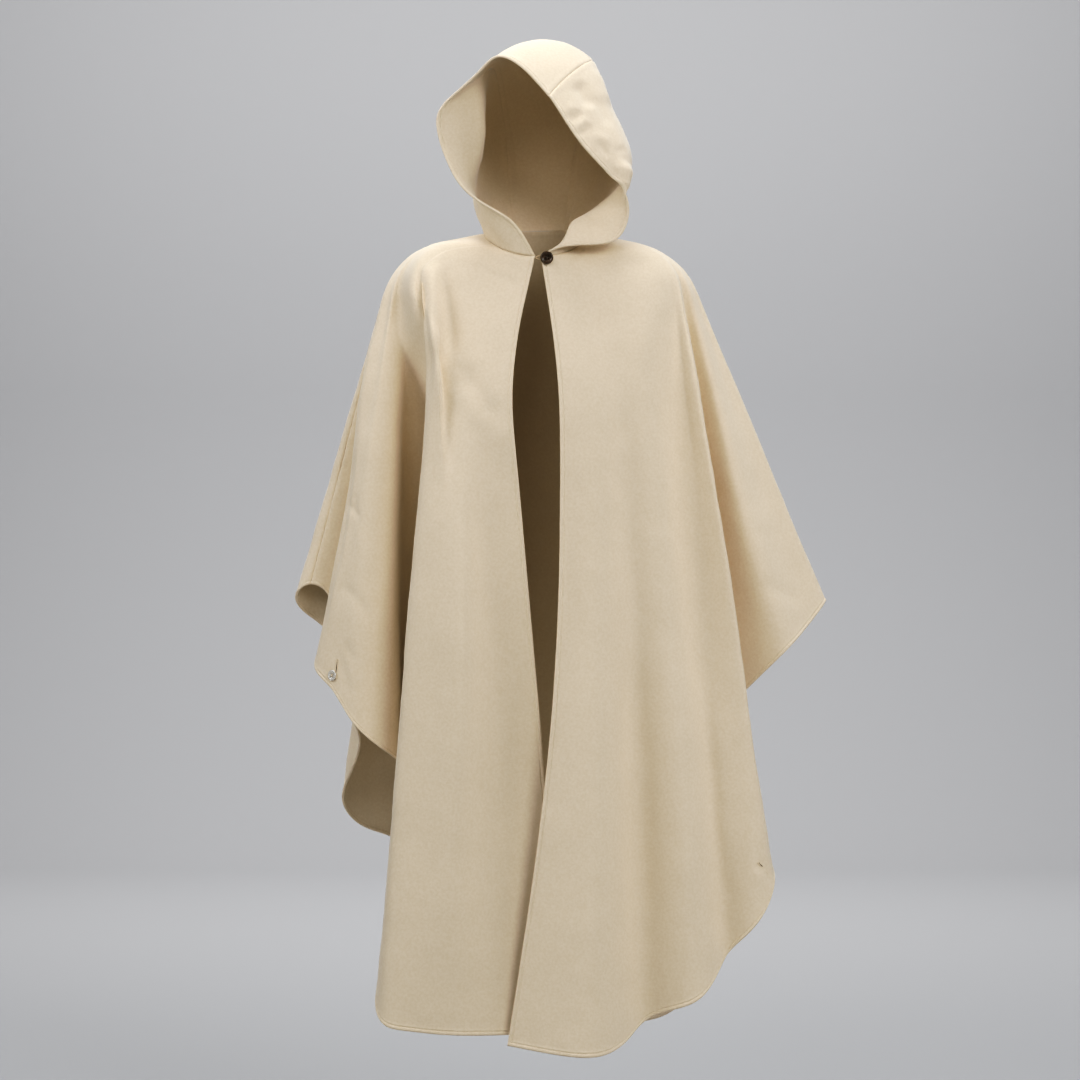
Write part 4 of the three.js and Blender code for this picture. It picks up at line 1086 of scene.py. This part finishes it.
FORWARD = (0, -1, 0)
front_face = -(NECK["throat"] + WALL / 2 + NECK_BUTTON["lie"])
neck_place = np.array([NECK_BUTTON["x"], front_face, NECK_BUTTON["z"]])
neck_button = button_mesh("button_neck_horn", NECK_BUTTON, neck_place, FORWARD, horn)
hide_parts("button_neck")
button_threads("button_neck_thread", NECK_BUTTON, neck_place, FORWARD, horn)
for name, (side, fold, v) in SIDE_BUTTONS.items():
    u, v = cape.knots[FOLD_INDEX[side, fold]], np.array(v)
    normal = cape.normal(u, v)
    place = cape.at(u, v) + normal * WALL / 2
    button = button_mesh(f"{name}_disc", SIDE_BUTTON, place, normal, clear)
    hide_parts(name)
    button_threads(f"{name}_thread", SIDE_BUTTON, place, normal, wool)
loop = loop_mesh(cord)
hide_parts("button_loop")

# ---------------------------------------------------------------- floor, backdrop and lights
# The display's tone curve bends down in the shade, as a photograph's does, and deep shade is a
# little warmer. For each curve: its index, then light in and light out.
TONES = {
    "all": (3, [(0.1, 0.055), (0.25, 0.185), (0.45, 0.425), (0.7, 0.69)]),
    "green": (1, [(0.05, 0.045), (0.1, 0.094), (0.25, 0.248)]),
    "blue": (2, [(0.05, 0.034), (0.1, 0.08), (0.25, 0.245)]),
}
STAGE = {
    "floor": -1.47, "half_width": 9.0, "near": -9.0, "turn": 5.0, "radius": 1.6, "top": 5.0,
    "steps": 24, "colour": (0.47, 0.47, 0.475),
}


def make_stage():
    """A floor that curves up into the backdrop behind the garment."""
    angles = np.linspace(0, TURN / 4, STAGE["steps"])
    floor, turn, radius = STAGE["floor"], STAGE["turn"], STAGE["radius"]
    profile = [(STAGE["near"], floor)]
    profile += [(turn + radius * math.sin(a), floor + radius * (1 - math.cos(a))) for a in angles]
    profile.append((turn + radius, STAGE["top"]))
    points = [(side * STAGE["half_width"], y, z) for y, z in profile for side in (-1, 1)]
    faces = [(2 * i, 2 * i + 1, 2 * i + 3, 2 * i + 2) for i in range(len(profile) - 1)]
    grey = plain_material("backdrop_grey", STAGE["colour"], 0.9, specular=0.1)
    smooth_object("backdrop", points, faces, grey)


# Softboxes: place, target, size (width, height), power in watts, colour.
WHITE, WARM, COOL = (1, 1, 1), (1.0, 0.99, 0.98), (0.975, 0.985, 1.0)
LIGHTS = {
    "overhead_softbox": ((0, 0.08, 2.3), (0, 0, -0.2), (1.2, 0.8), 40, (0.9, 0.96, 1.0)),
    "left_front_softbox": ((1.9, -3.6, 1.4), (0, 0, -0.4), (1.8, 1.8), 72, COOL),
    "right_front_softbox": ((-1, -3.6, 1.5), (0, 0, -0.4), (1.8, 1.4), 22, WARM),
    "right_side_softbox": ((-2.6, -0.9, 1.3), (0, 0, -0.4), (1.2, 1.6), 36, WHITE),
    "left_side_softbox": ((2.6, -0.9, 1.3), (0, 0, -0.4), (1.2, 1.6), 18, WHITE),
    "back_softbox": ((0, 3.2, 2.6), (0, 0.9, -1.2), (3.2, 1.2), 46, WHITE),
    "backdrop_light": ((0, 3.6, 2.6), (0, 6.6, -1.5), (6, 1), 167, WHITE),
}
WORLD_GREY, WORLD_STRENGTH = (0.62, 0.62, 0.64, 1), 0.18


def add_light(name, place, target, size, power, colour):
    data = bpy.data.lights.new(name, "AREA")
    data.shape = "RECTANGLE"
    data.size, data.size_y = size
    data.energy = power
    data.color = colour
    light = bpy.data.objects.new(name, data)
    light.location = place
    direction = Vector(target) - Vector(place)
    light.rotation_euler = direction.to_track_quat("-Z", "Y").to_euler()
    light.visible_camera = False
    bpy.context.scene.collection.objects.link(light)


def make_world():
    world = bpy.data.worlds.new("studio")
    world.use_nodes = True
    background = world.node_tree.nodes["Background"]
    background.inputs["Color"].default_value = WORLD_GREY
    background.inputs["Strength"].default_value = WORLD_STRENGTH
    bpy.context.scene.world = world


def set_tones():
    view = bpy.context.scene.view_settings
    view.view_transform = "Standard"
    view.use_curve_mapping = True
    for index, points in TONES.values():
        for place, value in points:
            view.curve_mapping.curves[index].points.new(place, value)
    view.curve_mapping.update()


make_stage()
for name, row in LIGHTS.items():
    add_light(name, *row)
make_world()
set_tones()
